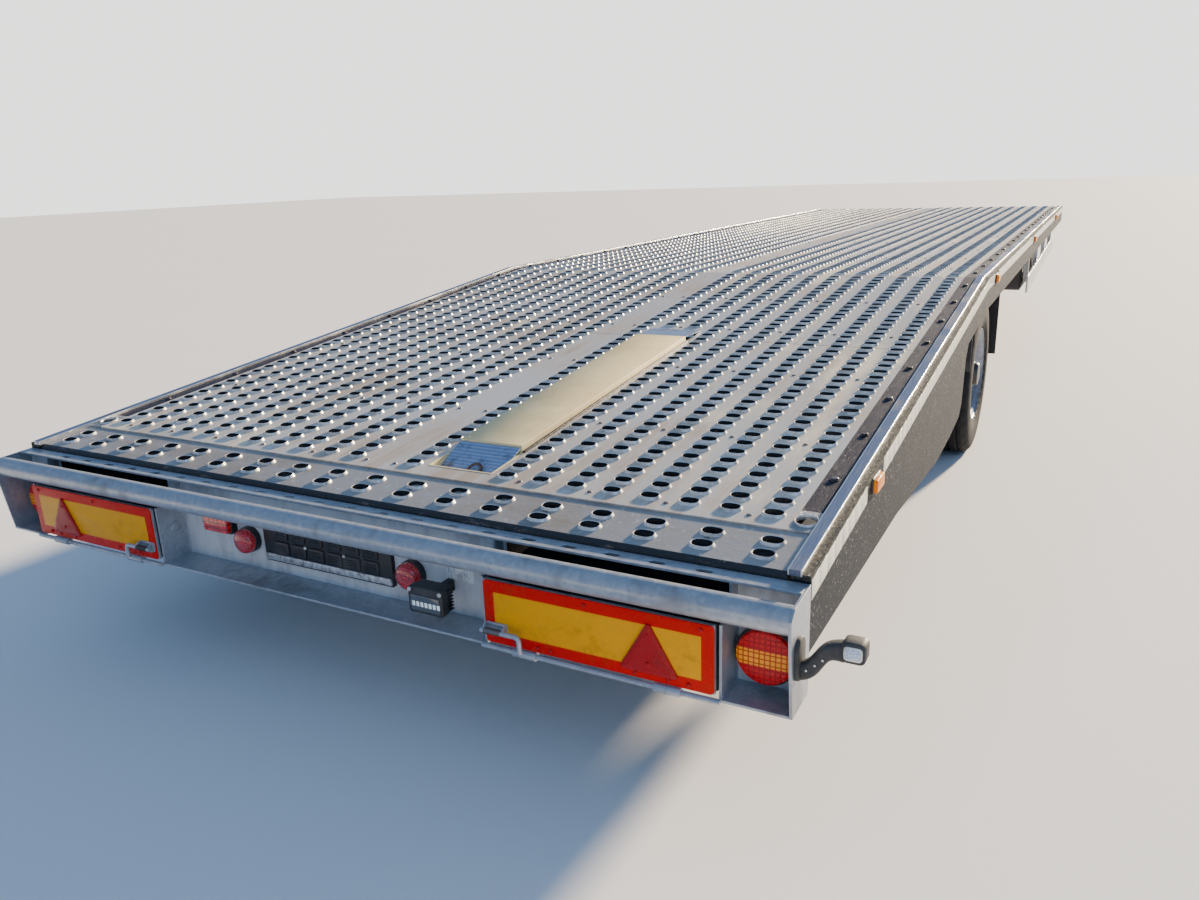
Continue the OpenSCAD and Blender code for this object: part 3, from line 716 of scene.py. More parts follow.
tape_l, tape_gap, tape_top, tape_h, tape_t = 56 * MM, 1.6 * MM, 9 * MM, 44 * MM, 0.5 * MM
marker_co = np.array([v.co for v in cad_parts["side_marker_lamps"].data.vertices])
marker_xs = np.unique(np.round(marker_co[:, 0], 4))
marker_mids = [(marker_xs[i] + marker_xs[i + 1]) / 2 for i in range(0, len(marker_xs) - 1, 2)]
starts = np.concatenate([np.arange(beam_low[0] + 0.004, fold_x - tape_l, tape_l + tape_gap),
                         np.arange(fold_x + 0.002, front_x - tape_l, tape_l + tape_gap)])
mids = starts + tape_l / 2
clear_of = np.all([np.abs(mids - m) > (tape_l / 2 + 46 * MM) for m in marker_mids], axis=0)
mids = mids[clear_of]


def deck_line(x):
    return deck_z + np.minimum(0, (x - fold_x) * math.tan(fall))


for side, hand in SIDES:
    shape = pad(tape_l / 2, tape_h / 2, tape_t / MM, 2, 0.3, 3)
    points, faces = placed(shape, (0, 0, 0), (-side, 0, 0), (0, 0, 1))
    places = np.column_stack([mids, np.full(len(mids), side * beam_y),
                              deck_line(mids) - tape_top - tape_h / 2])
    strip_points, strip_faces = repeated((points, faces), places)
    on_slope = np.repeat(mids < fold_x, len(points))
    lean = (strip_points[:, 0] - np.repeat(mids, len(points))) * math.tan(fall)
    strip_points[:, 2] += np.where(on_slope, lean, 0)
    make("marking_tape_" + hand, [((strip_points, strip_faces), tape_white)])


@painted(Specular_IOR_Level=0.2, Emission_Strength=0.3)
def amber_lens(point):
    glow = (point.part("X") * 900.0).maths("SINE").step(-1.0, 1.0)
    return {"Base Color": glow.mix((0.62, 0.14, 0.0), (0.95, 0.33, 0.005)), "Roughness": 0.26 - glow * 0.06,
            "Emission Color": glow.mix((0.9, 0.20, 0.0), (1.0, 0.34, 0.0)), "Bump": (glow, 0.0006)}


@painted()
def black_plastic(point):
    grain = point.noise(480, 2)
    dust = point.noise(9, 5, 0.6).step(0.45, 0.7)
    return {"Base Color": dust.mix((0.012, 0.012, 0.014), (0.050, 0.048, 0.046)),
            "Roughness": dust * 0.25 + grain * 0.1 + 0.34, "Bump": (grain, 0.0003)}


marker_parts = []
for side in (1, -1):
    for x in marker_mids:
        origin = np.array([x, side * beam_y, deck_line(x) - 36 * MM])
        foot, lens = pad(42 * MM, 20 * MM, 4, 6, 2.5), pad(39 * MM, 17 * MM, 10.5, 6, 2.5)
        marker_parts += [at(black_plastic, foot, origin, (-side, 0, 0)),
                         at(amber_lens, lens, origin + (0, side * 3 * MM, 0), (-side, 0, 0))]
make("side_markers", marker_parts, replaces=["side_marker_lamps"])


# ---------------------------------------------------------------------------------------------
# Cover plate: a beige painted plate over the winch well, riveted down and scuffed by tyres, with a
# ribbed aluminium wedge ahead of it and a ribbed grip slope behind it that has a pull ring.

cover_h = 20 * MM
cover_mid_y = (cover_low[1] + cover_high[1]) / 2
plate_s0, plate_s1 = cover_s0 + 150 * MM, cover_s1 - 150 * MM
well_depth = 35 * MM


@painted()
def beige_paint(point):
    dust = point.noise(4, 6, 0.7)
    scuff = point.stretch(5, 26, 5).noise(4, 5, 0.75).step(0.58, 0.70)
    specks = point.noise(130, 3, 0.7).step(0.64, 0.72)
    worn = dust.step(0.35, 0.7).mix((0.92, 0.74, 0.37), (0.76, 0.57, 0.26))
    return {"Base Color": (scuff * 0.5 + specks * 0.4).mix(worn, (0.36, 0.27, 0.16)),
            "Roughness": dust * 0.2 + 0.48, "Bump": (dust * 0.5 + specks * 0.5, 0.0012)}


# The blue of the ribbed metal is painted shade and sky reflection, and the lighter lines on the rib crests
# are painted highlights. The dirt patches are real dirt.
@painted(Metallic=0.35)
def ribbed_metal(point):
    brushed = point.stretch(60, 3, 60).noise(4, 4, 0.6)
    dirt = point.noise(24, 5, 0.65).step(0.5, 0.7)
    rib = point.part("X").waves(12 * MM).step(0.2, 0.9)
    blue = rib.mix((0.24, 0.33, 0.50), (0.38, 0.46, 0.60))
    return {"Base Color": dirt.mix(blue, (0.17, 0.18, 0.22)),
            "Roughness": dirt * 0.25 + brushed * 0.15 + 0.34, "Bump": (brushed, 0.0004)}


@painted()
def dark_ring(point):
    rust = point.noise(70, 4, 0.7).step(0.42, 0.6)
    return {"Base Color": rust.mix((0.10, 0.095, 0.09), (0.13, 0.07, 0.04)), "Metallic": 0.8 - rust * 0.5,
            "Roughness": rust * 0.3 + 0.35, "Bump": (point.noise(400, 2), 0.0003)}


def ribbed_slope(s_low, s_high, h_low, h_high, thick, ribs=12, rib_h=2.4 * MM):
    """A thin plate across the well that slopes from (s_low, h_low) to (s_high, h_high). Its top lies
    under the straight line by rib_h times 1 less the 4th root of |sin| of the way along."""
    way = np.linspace(0, 1, ribs * 8 + 1)
    s, line_h = s_low + (s_high - s_low) * way, h_low + (h_high - h_low) * way
    top = line_h - rib_h * (1 - np.abs(np.sin(np.pi * ribs * way)) ** 0.25)
    line = np.vstack([np.column_stack([s, top]), np.column_stack([s, line_h - thick])[::-1]])
    return across_deck(line, cover_high[1] - 1.5 * MM, cover_low[1] + 1.5 * MM)


half_plate, half_wide = (plate_s1 - plate_s0) / 2, (cover_high[1] - cover_low[1]) / 2
body_shape = pad(half_plate, half_wide, (cover_h + sheet_t) / MM - 0.5, 3, 2)
plate_mid = (plate_s0 + plate_s1) / 2
cover_parts = [on_deck(beige_paint, body_shape, (plate_mid, cover_mid_y, -sheet_t + 0.3 * MM))]
rivet = lathe(10, [(6, 0), (5, 1.6), (2.4, 2.4)])
rivets = repeated(rivet, [(s, y, cover_h - 2.4 * MM) for s in np.linspace(plate_s0 + 0.02, plate_s1 - 0.02, 6)
                          for y in (cover_low[1] + 0.016, cover_high[1] - 0.016)])
cover_parts.append(on_deck(beige_paint, rivets))
# The near-black strips along both long sides of the plate are painted shade, standing for the shaded gap
# beside the raised plate.
lip_shape = pad(half_plate, 4 * MM, 5, 2, 1.5)
for y in (cover_low[1] - 5 * MM, cover_high[1] + 5 * MM):
    cover_parts.append(on_deck(nose_steel, lip_shape, (plate_mid, y, 0)))
make("winch_cover", cover_parts, replaces=["cover_plate"])

wedge = ribbed_slope(cover_s0 + 5 * MM, plate_s0 - 2 * MM, -well_depth + 4 * MM, cover_h - 4 * MM, 4 * MM)
grip = ribbed_slope(plate_s1 + 1 * MM, cover_s1 - 1 * MM, cover_h, 3 * MM, 3 * MM)
end_parts = [(wedge, ribbed_metal), (grip, ribbed_metal)]
for ya, yb in ((cover_low[1] - 2 * MM, cover_low[1] + 1 * MM),
               (cover_high[1] - 1 * MM, cover_high[1] + 2 * MM)):
    end_parts.append((strip(cover_s0 - 1 * MM, plate_s0, ya, yb, -well_depth, 1 * MM), beige_paint))
end_parts.append((strip(cover_s0 - 1 * MM, cover_s0 + 3 * MM, cover_low[1], cover_high[1], -well_depth,
                        1 * MM), beige_paint))


def tube(path, radius, side, count):
    """A rod along a path: at each point a circle, where side is a direction square to the path."""
    along = np.gradient(path, axis=0)
    along /= np.linalg.norm(along, axis=1)[:, None]
    angle = (np.arange(count) * 2 * np.pi / count)[None, :, None]
    ring = np.cos(angle) * side[:, None] + np.sin(angle) * np.cross(along, side)[:, None]
    return stack(path[:, None] + np.reshape(radius, (-1, 1, 1)) * ring)


def rod(path, radius, count=10):
    """A round rod along a path that turns in a plane. The circles stand square to the path, and
    the plane's normal is one of their two directions."""
    path = np.asarray(path, float)
    along = np.gradient(path, axis=0)
    along /= np.linalg.norm(along, axis=1)[:, None]
    return tube(path, radius, np.cross(along, np.linalg.svd(path - path.mean(0))[2][2]), count)


def torus(centre, across, up, big, small, count=28, sides=10):
    """A closed ring: a circle of radius small carried round a circle of radius big."""
    turn = np.arange(count + 1) * 2 * np.pi / count
    angle = np.arange(sides) * 2 * np.pi / sides
    reach = big + small * np.cos(angle)
    rings = np.stack([reach[None] * np.cos(turn)[:, None], reach[None] * np.sin(turn)[:, None],
                      np.tile(-small * np.sin(angle), (count + 1, 1))], -1)
    points, faces = stack(rings, False)
    return set_at(points, centre, across, up), faces


ring_at = deck_place([-2452 * MM, -270 * MM, -14 * MM])
lean = math.radians(35)
end_parts.append((torus(ring_at, (0, 1, 0), (math.cos(lean), 0, math.sin(lean)), 20 * MM, 3.5 * MM),
                  dark_ring))
arch = np.radians(np.linspace(0, 180, 9))
staple_at = deck_place([-2468 * MM, -270 * MM, -26 * MM])
staple = staple_at + np.column_stack([0 * arch, 9 * MM * np.cos(arch), 12 * MM * np.sin(arch)])
end_parts.append((rod(staple, 3 * MM), dark_ring))
make("cover_grips", end_parts, replaces=["cover_ends"])


# ---------------------------------------------------------------------------------------------
# Rear beam: a galvanised full-width tube over welded upright plates, a slotted ledge and a folded
# floor, with a light grey painted wall behind the lamps. Bare zinc shows its spangle.

@painted()
def galvanised_zinc(point):
    tint = point.cells(95, out=1)
    spangle = tint.put("RGBToBW", {}, {"Color": tint})
    cloud = point.noise(3.2, 5, 0.6)
    stain = (cloud * 0.7 + point.stretch(9, 9, 2).noise(3) * 0.3).step(0.50, 0.68)
    bare = spangle.mix((0.33, 0.355, 0.39), (0.45, 0.47, 0.49))
    return {"Base Color": stain.mix(bare, (0.24, 0.235, 0.23)), "Metallic": 0.5 - stain * 0.2,
            "Roughness": spangle * 0.1 + stain * 0.2 + 0.30, "Bump": (cloud * 0.6 + spangle * 0.4, 0.0006)}


@painted()
def wall_grey(point):
    splash = (point.noise(5, 6, 0.65) * 0.7 + point.stretch(20, 20, 3).noise(2) * 0.3).step(0.44, 0.68)
    return {"Base Color": splash.mix((0.66, 0.66, 0.64), (0.42, 0.40, 0.38)),
            "Roughness": splash * 0.2 + 0.42, "Bump": (point.noise(200, 2), 0.0004)}


recoat(galvanised_zinc, "rear_tube", "rear_frame", "rear_ledge", "hinge_rods")
recoat(wall_grey, "rear_back_wall")
ease_edges(0.0012, "rear_frame", "rear_ledge", "rear_back_wall")

(tube_x, _, tube_z), _ = middle("rear_tube")
frame_low, frame_high = box("rear_frame")
wall_x = box("rear_back_wall")[0][0]
board_box = {hand: box("warning_board_" + hand) for _, hand in SIDES}
board_in_y, board_out_y = board_box["left"][0][1], board_box["left"][1][1]
floor_z = frame_low[2]
up = (0, 0, 1)


def weld_bead(start, end, radius=3.2 * MM):
    """A weld seam: a rod whose radius swells and shrinks with a sine along the seam."""
    start, end = np.asarray(start, float), np.asarray(end, float)
    way = np.linspace(0, 1, max(12, int(np.linalg.norm(end - start) / 0.004)))
    side = np.cross((end - start) / np.linalg.norm(end - start), (0.3, 0.5, 0.8))
    swell = radius * (0.85 + 0.15 * np.sin(way * len(way) * 1.9))
    path = start + way[:, None] * (end - start)
    return tube(path, swell, np.tile(side / np.linalg.norm(side), (len(way), 1)), 8)


weld_parts = []
for side in (1, -1):
    for y in (side * (board_in_y - 6 * MM), side * (board_in_y - 12 * MM), side * (board_out_y + 6 * MM),
              side * (board_out_y + 12 * MM)):
        weld_parts.append((weld_bead((wall_x - 1 * MM, y, floor_z + 8 * MM),
                                     (wall_x - 1 * MM, y, tube_z - 60 * MM)), galvanised_zinc))
        weld_parts.append((weld_bead((tube_x + 4 * MM, y, floor_z + 7 * MM),
                                     (wall_x - 2 * MM, y, floor_z + 7 * MM)), galvanised_zinc))
bush = [(17, 0), (17, 3), (15, 4.2), (10.5, 4.2), (10, 3.4), (10, 0.4)]
for side in (1, -1):
    rings = levels([(ring_of(24, r * MM), h * MM) for r, h in bush])
    shape = stack(rings)
    origin = ((tube_x + wall_x) / 2 + 8 * MM, side * (board_in_y - 12 * MM), (floor_z + tube_z) / 2 - 8 * MM)
    weld_parts.append(at(galvanised_zinc, shape, origin, (side, 0, 0)))
make("rear_beam_welds", weld_parts)


# ---------------------------------------------------------------------------------------------
# Warning boards: aluminium plates faced with reflective film, yellow inside a red border, screwed
# to the ramp doors. Each has a raised red triangle on two screws near the trailer's side.

recoat(galvanised_zinc, "ramp_door_left", "ramp_door_right")
ease_edges(0.0012, "ramp_door_left", "ramp_door_right")
border = 27 * MM


def board_look(hand):
    """Film in yellow, and red nearer than the border's width to an edge of the board."""
    (_, mid_y, mid_z), (_, half_y, half_z) = middle("warning_board_" + hand)

    def look(point):
        edge_y = abs(point.part("Y") - mid_y) - (half_y - border)
        edge_z = abs(point.part("Z") - mid_z) - (half_z - border)
        red = edge_y.maths("MAXIMUM", edge_z).step(-0.0004, 0.0004)
        comb = point.comb(420, 0.02, 0.12)
        dirt = (point.noise(7, 6, 0.7) * 0.6 + point.noise(60, 4, 0.75) * 0.4).step(0.50, 0.66)
        yellow = comb.mix((0.88, 0.33, 0.0), (0.98, 0.42, 0.0))
        scarlet = comb.mix((0.60, 0.0, 0.0), (0.76, 0.003, 0.001))
        return {"Base Color": (dirt * 0.35).mix(red.mix(yellow, scarlet), (0.16, 0.06, 0.01)),
                "Roughness": dirt * 0.3 + 0.24, "Bump": (comb, 0.0002)}

    return look


@painted(Specular_IOR_Level=0.3)
def red_prism(point):
    prism = point.comb(260, 0.02, 0.16)
    dirt = point.noise(26, 4, 0.6).step(0.5, 0.7)
    return {"Base Color": (dirt * 0.3).mix(prism.mix((0.34, 0.0, 0.002), (0.52, 0.003, 0.004)),
                                           (0.14, 0.01, 0.01)), "Roughness": dirt * 0.25 + 0.16,
            "Bump": (prism, 0.0005)}


tri_side, tri_y, tri_drop, tri_t = 136 * MM, 0.955, 22 * MM, 7 * MM


def rounded_triangle(side_l, r, n=6):
    """Outline of an equilateral triangle, point up, centred on its middle, with corners of radius r."""
    reach = side_l / math.sqrt(3) - 2 * r
    return np.concatenate([reach * np.array([math.cos(a), math.sin(a)]) + r * np.column_stack(
        [np.cos(t := np.linspace(a - np.pi / 3, a + np.pi / 3, n)), np.sin(t)])
        for a in np.radians([90, 210, 330])])


for side, hand in SIDES:
    low, high = board_box[hand]
    mid = (low + high) / 2
    half_y, half_z = (high - low)[1:] / 2
    film = finish("board_film_" + hand, board_look(hand), Specular_IOR_Level=0.12)
    origin = (high[0], mid[1], mid[2])
    parts = [at(film, pad(half_y, half_z, (high[0] - low[0]) / MM, 9, 1, 5), origin)]
    tri_mid = high[2] - tri_drop - tri_side / math.sqrt(3) + 6 * MM
    outline = rounded_triangle(tri_side, 7 * MM)
    inner = rounded_triangle(tri_side - 9 * MM, 4 * MM)
    tri = stack(levels([(outline, 0), (outline, tri_t - 3 * MM), (inner, tri_t - 1 * MM),
                        (inner * 0.8, tri_t)]))
    parts.append(at(red_prism, tri, (low[0], side * tri_y, tri_mid)))
    screw_at = [(side * tri_y, tri_mid + 48 * MM, tri_t - 1 * MM), (side * tri_y, tri_mid - 16 * MM, tri_t)]
    screw_at += [(side * (board_in_y + 2 * k * half_y), high[2] - 12 * MM, 0) for k in (0.47, 0.95)]
    screw_at += [(side * (board_in_y + 2 * k * half_y), low[2] + 11 * MM, 0)
                 for k in (0.14, 0.25, 0.31, 0.68, 0.82, 0.90)]
    head = lathe(10, [(5, 0), (4.4, 2), (2.4, 2.8)])
    parts += [at(red_prism, head, (low[0] - out, y, z)) for y, z, out in screw_at]
    make("warning_sheet_" + hand, parts, "ramp_door_" + hand, ["warning_board_" + hand])


# ---------------------------------------------------------------------------------------------
# Door bolts: a spring bolt in a bent strap bracket at the inner edge of each board. The rod's end is
# bent down into a handle, and a coil spring pushes it shut.

for side, hand in SIDES:
    low, high = box("door_bolt_" + hand)
    rod_r = 5.8 * MM
    axis_x = low[0] + 8 * MM
    bolt_z = board_box[hand][0][2] + 38 * MM
    handle_y = side * (board_in_y + 100 * MM)
    board_x = board_box[hand][0][0]
    parts = []
    plate_half = 28 * MM
    plate_y = side * (board_in_y + 4 * MM + plate_half)
    parts.append(at(galvanised_zinc, pad(plate_half, 13 * MM, 4, 3, 1), (board_x, plate_y, bolt_z)))
    for k in (-1, 1):
        ear_y = plate_y + k * (plate_half - 3 * MM)
        bend = np.radians(np.linspace(-90, 90, 9))
        nose = np.column_stack([8 * MM + 12 * MM * np.cos(bend), 12.5 * MM * np.sin(bend)])
        outline = np.vstack([[0, -12.5 * MM], nose, [0, 12.5 * MM]])
        faces = [np.column_stack([board_x - outline[:, 0], np.full(len(outline), ear_y + t),
                                  bolt_z + outline[:, 1]]) for t in (-2 * MM, 2 * MM)]
        parts.append((stack(faces), galvanised_zinc))
    bend = np.linspace(0, np.pi / 2, 8)
    bend_r = 12 * MM
    straight = np.linspace(side * (board_in_y + 1 * MM), handle_y - side * bend_r, 8)
    path = [(axis_x, y, bolt_z) for y in straight]
    path += [(axis_x, handle_y - side * bend_r * (1 - math.sin(t)), bolt_z - bend_r * (1 - math.cos(t)))
             for t in bend[1:]]
    path += [(axis_x, handle_y, z) for z in np.linspace(bolt_z - bend_r - 4 * MM, bolt_z - 38 * MM, 4)]
    parts.append((rod(path, rod_r, 12), galvanised_zinc))
    turns, coil_r, wire_r = 9, 6.8 * MM, 1.1 * MM
    t = np.linspace(0, 1, turns * 14)
    helix = np.column_stack([axis_x + coil_r * np.cos(2 * np.pi * turns * t), plate_y + (t - 0.5) * 44 * MM,
                             bolt_z + coil_r * np.sin(2 * np.pi * turns * t)])
    out = (helix - (axis_x, 0, bolt_z)) * (1, 0, 1)
    out /= np.linalg.norm(out, axis=1)[:, None]
    parts.append((tube(helix, wire_r, out, 6), dark_ring))
    make("spring_bolt_" + hand, parts, "ramp_door_" + hand, ["door_bolt_" + hand])


# ---------------------------------------------------------------------------------------------
# Main rear lamps: round lamps with a black housing and a moulded lens, red above and below an
# amber band, over rows of small light diodes. Three screws hold each one.

def lens_look(mid_z, amber_half):
    def look(point):
        z = point.part("Z") - mid_z
        amber = 1 - abs(z).step(amber_half - 0.001, amber_half + 0.001)
        diodes = (point.part("Y") * 90.0).dots(z * 90.0, 0.06, 0.20)
        prism = point.comb(230, 0.02, 0.2)
        red = diodes.mix((0.36, 0.0, 0.003), (0.60, 0.004, 0.006))
        orange = diodes.mix((0.50, 0.05, 0.0), (1.0, 0.36, 0.01))
        return {"Base Color": amber.mix(red, orange), "Roughness": prism * 0.1 + 0.10,
                "Emission Color": amber.mix(red, orange), "Bump": (diodes * 0.6 + prism * 0.4, 0.0009)}

    return look


lamp_low, lamp_high = box("main_lamps")
lamp_r = (lamp_high[2] - lamp_low[2]) / 2
lamp_z = (lamp_high[2] + lamp_low[2]) / 2
lamp_y = lamp_high[1] - lamp_r
main_lens = finish("main_lens", lens_look(lamp_z, 17 * MM), Specular_IOR_Level=0.35, Emission_Strength=0.1)
housing = [(lamp_r - 4 * MM, 0), (lamp_r - 3 * MM, 14 * MM), (lamp_r, 16 * MM), (lamp_r, 27 * MM),
           (lamp_r - 2 * MM, 29 * MM), (lamp_r - 6 * MM, 29.5 * MM)]
dome = [(lamp_r - 5 * MM, 24 * MM), (lamp_r - 5 * MM, 34 * MM), (lamp_r - 7 * MM, 38 * MM),
        (lamp_r - 14 * MM, 40.5 * MM), (lamp_r * 0.5, 41.6 * MM), (4 * MM, 42 * MM)]
for side, hand in SIDES:
    origin = (wall_x, side * lamp_y, lamp_z)
    parts = [at(black_plastic, lathe(48, housing, 1), origin), at(main_lens, lathe(48, dome, 1), origin)]
    for angle in np.radians([90, 210, 330]):
        spot = np.array(origin) + (-29 * MM, (lamp_r - 3 * MM) * math.cos(angle),
                                   (lamp_r - 3 * MM) * math.sin(angle))
        head = lathe(8, [(2.6, 0), (2, 1.4)])
        parts.append(at(collar_steel, head, spot))
    make("tail_lamp_" + hand, parts, replaces=["main_lamps"])


# ---------------------------------------------------------------------------------------------
# Inner lamps: two small round red lamps with ribbed sides, and a square-cornered red fog lamp whose
# lens is a grid of cells, in black housings.

@painted(Coat_Weight=1.0, Emission_Strength=0.10)
def grid_lens(point):
    cell = (point.part("Y") * 62.0).dots(point.part("Z") * 62.0, 0.03, 0.09)
    glint = point.noise(60, 2).step(0.45, 0.65)
    red = glint.mix((0.52, 0.008, 0.010), (0.86, 0.05, 0.04))
    return {"Base Color": cell.mix((0.16, 0.004, 0.006), red), "Roughness": 0.24 - cell * 0.1,
            "Emission Color": cell.mix((0.1, 0.0, 0.0), red), "Bump": (cell, 0.0012)}


@painted(Coat_Weight=1.0, Emission_Strength=0.06)
def small_lens(point):
    prism = point.comb(150, 0.03, 0.2)
    return {"Base Color": prism.mix((0.26, 0.004, 0.008), (0.66, 0.02, 0.03)),
            "Roughness": 0.2 - prism * 0.08,
            "Emission Color": prism.mix((0.2, 0.0, 0.0), (0.7, 0.02, 0.02)), "Bump": (prism, 0.0009)}


inner_high = box("inner_lamps")[1]
round_y, round_r = 280 * MM, 36 * MM
fog_half_y, fog_half_z = 52.5 * MM, 26 * MM
inner_co = np.array([v.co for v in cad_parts["inner_lamps"].data.vertices])
fog_co, round_co = inner_co[inner_co[:, 1] > 0.33], inner_co[inner_co[:, 1] < 0.32]
fog_y = inner_high[1] - fog_half_y
fog_z, round_z = fog_co[:, 2].mean(), (round_co[:, 2].max() + round_co[:, 2].min()) / 2
parts = [at(black_plastic, pad(fog_half_y, fog_half_z, 18, 8, 2), (wall_x, fog_y, fog_z)),
         at(grid_lens, pad(fog_half_y - 5 * MM, fog_half_z - 5 * MM, 14, 5, 3, 6),
            (wall_x - 16 * MM, fog_y, fog_z))]
small_housing = [(round_r, 0), (round_r, 17 * MM), (round_r - 2 * MM, 19 * MM)]
small_dome = [(round_r - 1.5 * MM, 14 * MM), (round_r - 2 * MM, 30 * MM), (round_r - 5 * MM, 36 * MM),
              (round_r - 13 * MM, 40.5 * MM), (3 * MM, 41.8 * MM)]
for y in (-round_y, round_y):
    for profile, look in ((small_housing, black_plastic), (small_dome, small_lens)):
        parts.append(at(look, lathe(32, profile, 1), (wall_x, y, round_z)))
make("inner_lamp_set", parts, replaces=["inner_lamps"])


# ---------------------------------------------------------------------------------------------
# Wall reflector: a short strip of white moulded ribs, glued to the wall beside the work light.

@painted()
def white_rib(point):
    dirt = point.noise(30, 4, 0.65).step(0.45, 0.65)
    return {"Base Color": dirt.mix((0.80, 0.82, 0.80), (0.48, 0.49, 0.50)), "Roughness": dirt * 0.3 + 0.25,
            "Bump": (point.noise(300, 2), 0.0003)}


strip_at = np.array([wall_x, -0.418, 0.500])
parts = [at(white_rib, pad(40 * MM, 19 * MM, 2, 3, 0.8), strip_at)]
rib_shape = placed(pad(2.2 * MM, 17 * MM, 2.6, 1.4, 1.2), strip_at - (1.6 * MM, 0, 0), (0, -1, 0), up)
ribs = repeated(rib_shape, [(0, y, 0) for y in np.linspace(-34, 34, 10) * MM])
parts.append((ribs, white_rib))
make("wall_reflector", parts)


# ---------------------------------------------------------------------------------------------
# Plate holder: a moulded black carrier with rows of raised pockets and a plain silver strip along
# its foot, screwed to the wall. It is empty.

@painted(Metallic=0.5)
def silver_strip(point):
    dirt = point.stretch(6, 6, 6).noise(9, 5, 0.65).step(0.42, 0.66)
    return {"Base Color": dirt.mix((0.56, 0.57, 0.58), (0.22, 0.22, 0.22)), "Roughness": dirt * 0.25 + 0.3,
            "Bump": (point.noise(260, 2), 0.0002)}


holder_mid, holder_half = middle("plate_holder")
foot_h = 9 * MM
parts = [at(black_plastic, pad(holder_half[1], holder_half[2], 12, 5, 2),
            (wall_x, holder_mid[1], holder_mid[2])),
         at(silver_strip, pad(holder_half[1] - 4 * MM, foot_h, 3.5, 2, 1),
            (wall_x - 12 * MM, holder_mid[1], holder_mid[2] - holder_half[2] + foot_h + 5 * MM))]
pocket_y = np.linspace(-1, 1, 8)[1:-1] * holder_half[1] * 0.98
for y in pocket_y:
    for z, tall in ((0.56, 21 * MM), (-0.22, 18 * MM)):
        shape = pad(25 * MM, tall, 4, 4, 2)
        parts.append(at(black_plastic, shape, (wall_x - 11.5 * MM, y, holder_mid[2] + z * holder_half[2])))
        bar_shape = pad(16 * MM, 1.6 * MM, 2, 1.2, 0.8)
        for drop in (-7 * MM, 0, 7 * MM):
            parts.append(at(black_plastic, bar_shape,
                            (wall_x - 15.2 * MM, y, holder_mid[2] + z * holder_half[2] + drop)))
for y in (-0.72, 0.72):
    head = lathe(10, [(5, 0), (4, 2)])
    parts.append(at(collar_steel, head,
                    (wall_x - 15 * MM, y * holder_half[1] * 0.42, holder_mid[2] + 3 * MM)))
make("plate_carrier", parts, replaces=["plate_holder"])


# ---------------------------------------------------------------------------------------------
# Work light: a cast black housing with cooling fins behind a pale lens with a row of diodes, on
# a bent bracket from the wall.

work_low, work_high = box("work_light")
body_x0, body_x1 = work_low[0], work_low[0] + 50 * MM
(_, body_y, body_z), (_, half_y, half_z) = middle("work_light")


@painted(Coat_Weight=1.0, Emission_Strength=0.25)
def work_lens(point):
    y, z = point.part("Y") * 85.0, point.part("Z") - (body_z - 8 * MM)
    row = 1 - abs(z).step(5 * MM, 7 * MM)
    spot = row * y.maths("PINGPONG", 0.5).step(0.08, 0.24)
    return {"Base Color": spot.mix((0.06, 0.065, 0.07), (0.78, 0.86, 0.84)), "Roughness": 0.16 - spot * 0.06,
            "Emission Color": spot.mix((0.0, 0.0, 0.0), (0.8, 0.95, 0.92)), "Bump": (spot, 0.0012)}


parts = [at(black_plastic, pad(half_y, half_z, 22, 7, 2.5), (body_x0 + 24 * MM, body_y, body_z)),
         at(work_lens, pad(half_y - 8 * MM, half_z - 14 * MM, 3, 4, 1),
            (body_x0 + 3 * MM, body_y, body_z - 6 * MM))]
fin = pad(half_y - 4 * MM, 1.6 * MM, 26, 1, 0.6)
for z in np.linspace(-0.85, 0.85, 8) * half_z:
    parts.append(at(black_plastic, fin, (body_x1, body_y, body_z + z)))
arm_y = work_low[1] + 49 * MM
parts.append(at(black_plastic, pad(9 * MM, 15 * MM, (wall_x - body_x1) / MM + 3, 3, 1.5),
                (wall_x, arm_y, body_z + 2 * MM)))
for y in (work_low[1] + 6 * MM, work_high[1] - 6 * MM):
    knob = lathe(12, [(5, 0), (5, 3), (3.5, 4.5)])
    parts.append(at(collar_steel, knob, (body_x0 + 2.5 * MM, y, body_z + half_z - 8 * MM)))
make("work_lamp", parts, replaces=["work_light"])


# ---------------------------------------------------------------------------------------------
# Outline markers: a rubber arm bolted to each end plate, bent outwards and up, with a lamp head whose
# pale lens faces back and whose other lens faces forward.

@painted()
def black_rubber(point):
    bloom = point.noise(12, 5, 0.6).step(0.42, 0.70)
    return {"Base Color": bloom.mix((0.014, 0.014, 0.014), (0.060, 0.058, 0.055)),
            "Roughness": bloom * 0.2 + 0.55, "Bump": (point.noise(330, 3), 0.0005)}


@painted(Coat_Weight=1.0)
def pale_lens(point):
    prism = point.comb(170, 0.02, 0.2)
    return {"Base Color": prism.mix((0.40, 0.46, 0.56), (0.72, 0.78, 0.88)), "Roughness": 0.18 - prism * 0.06,
            "Bump": (prism, 0.0008)}


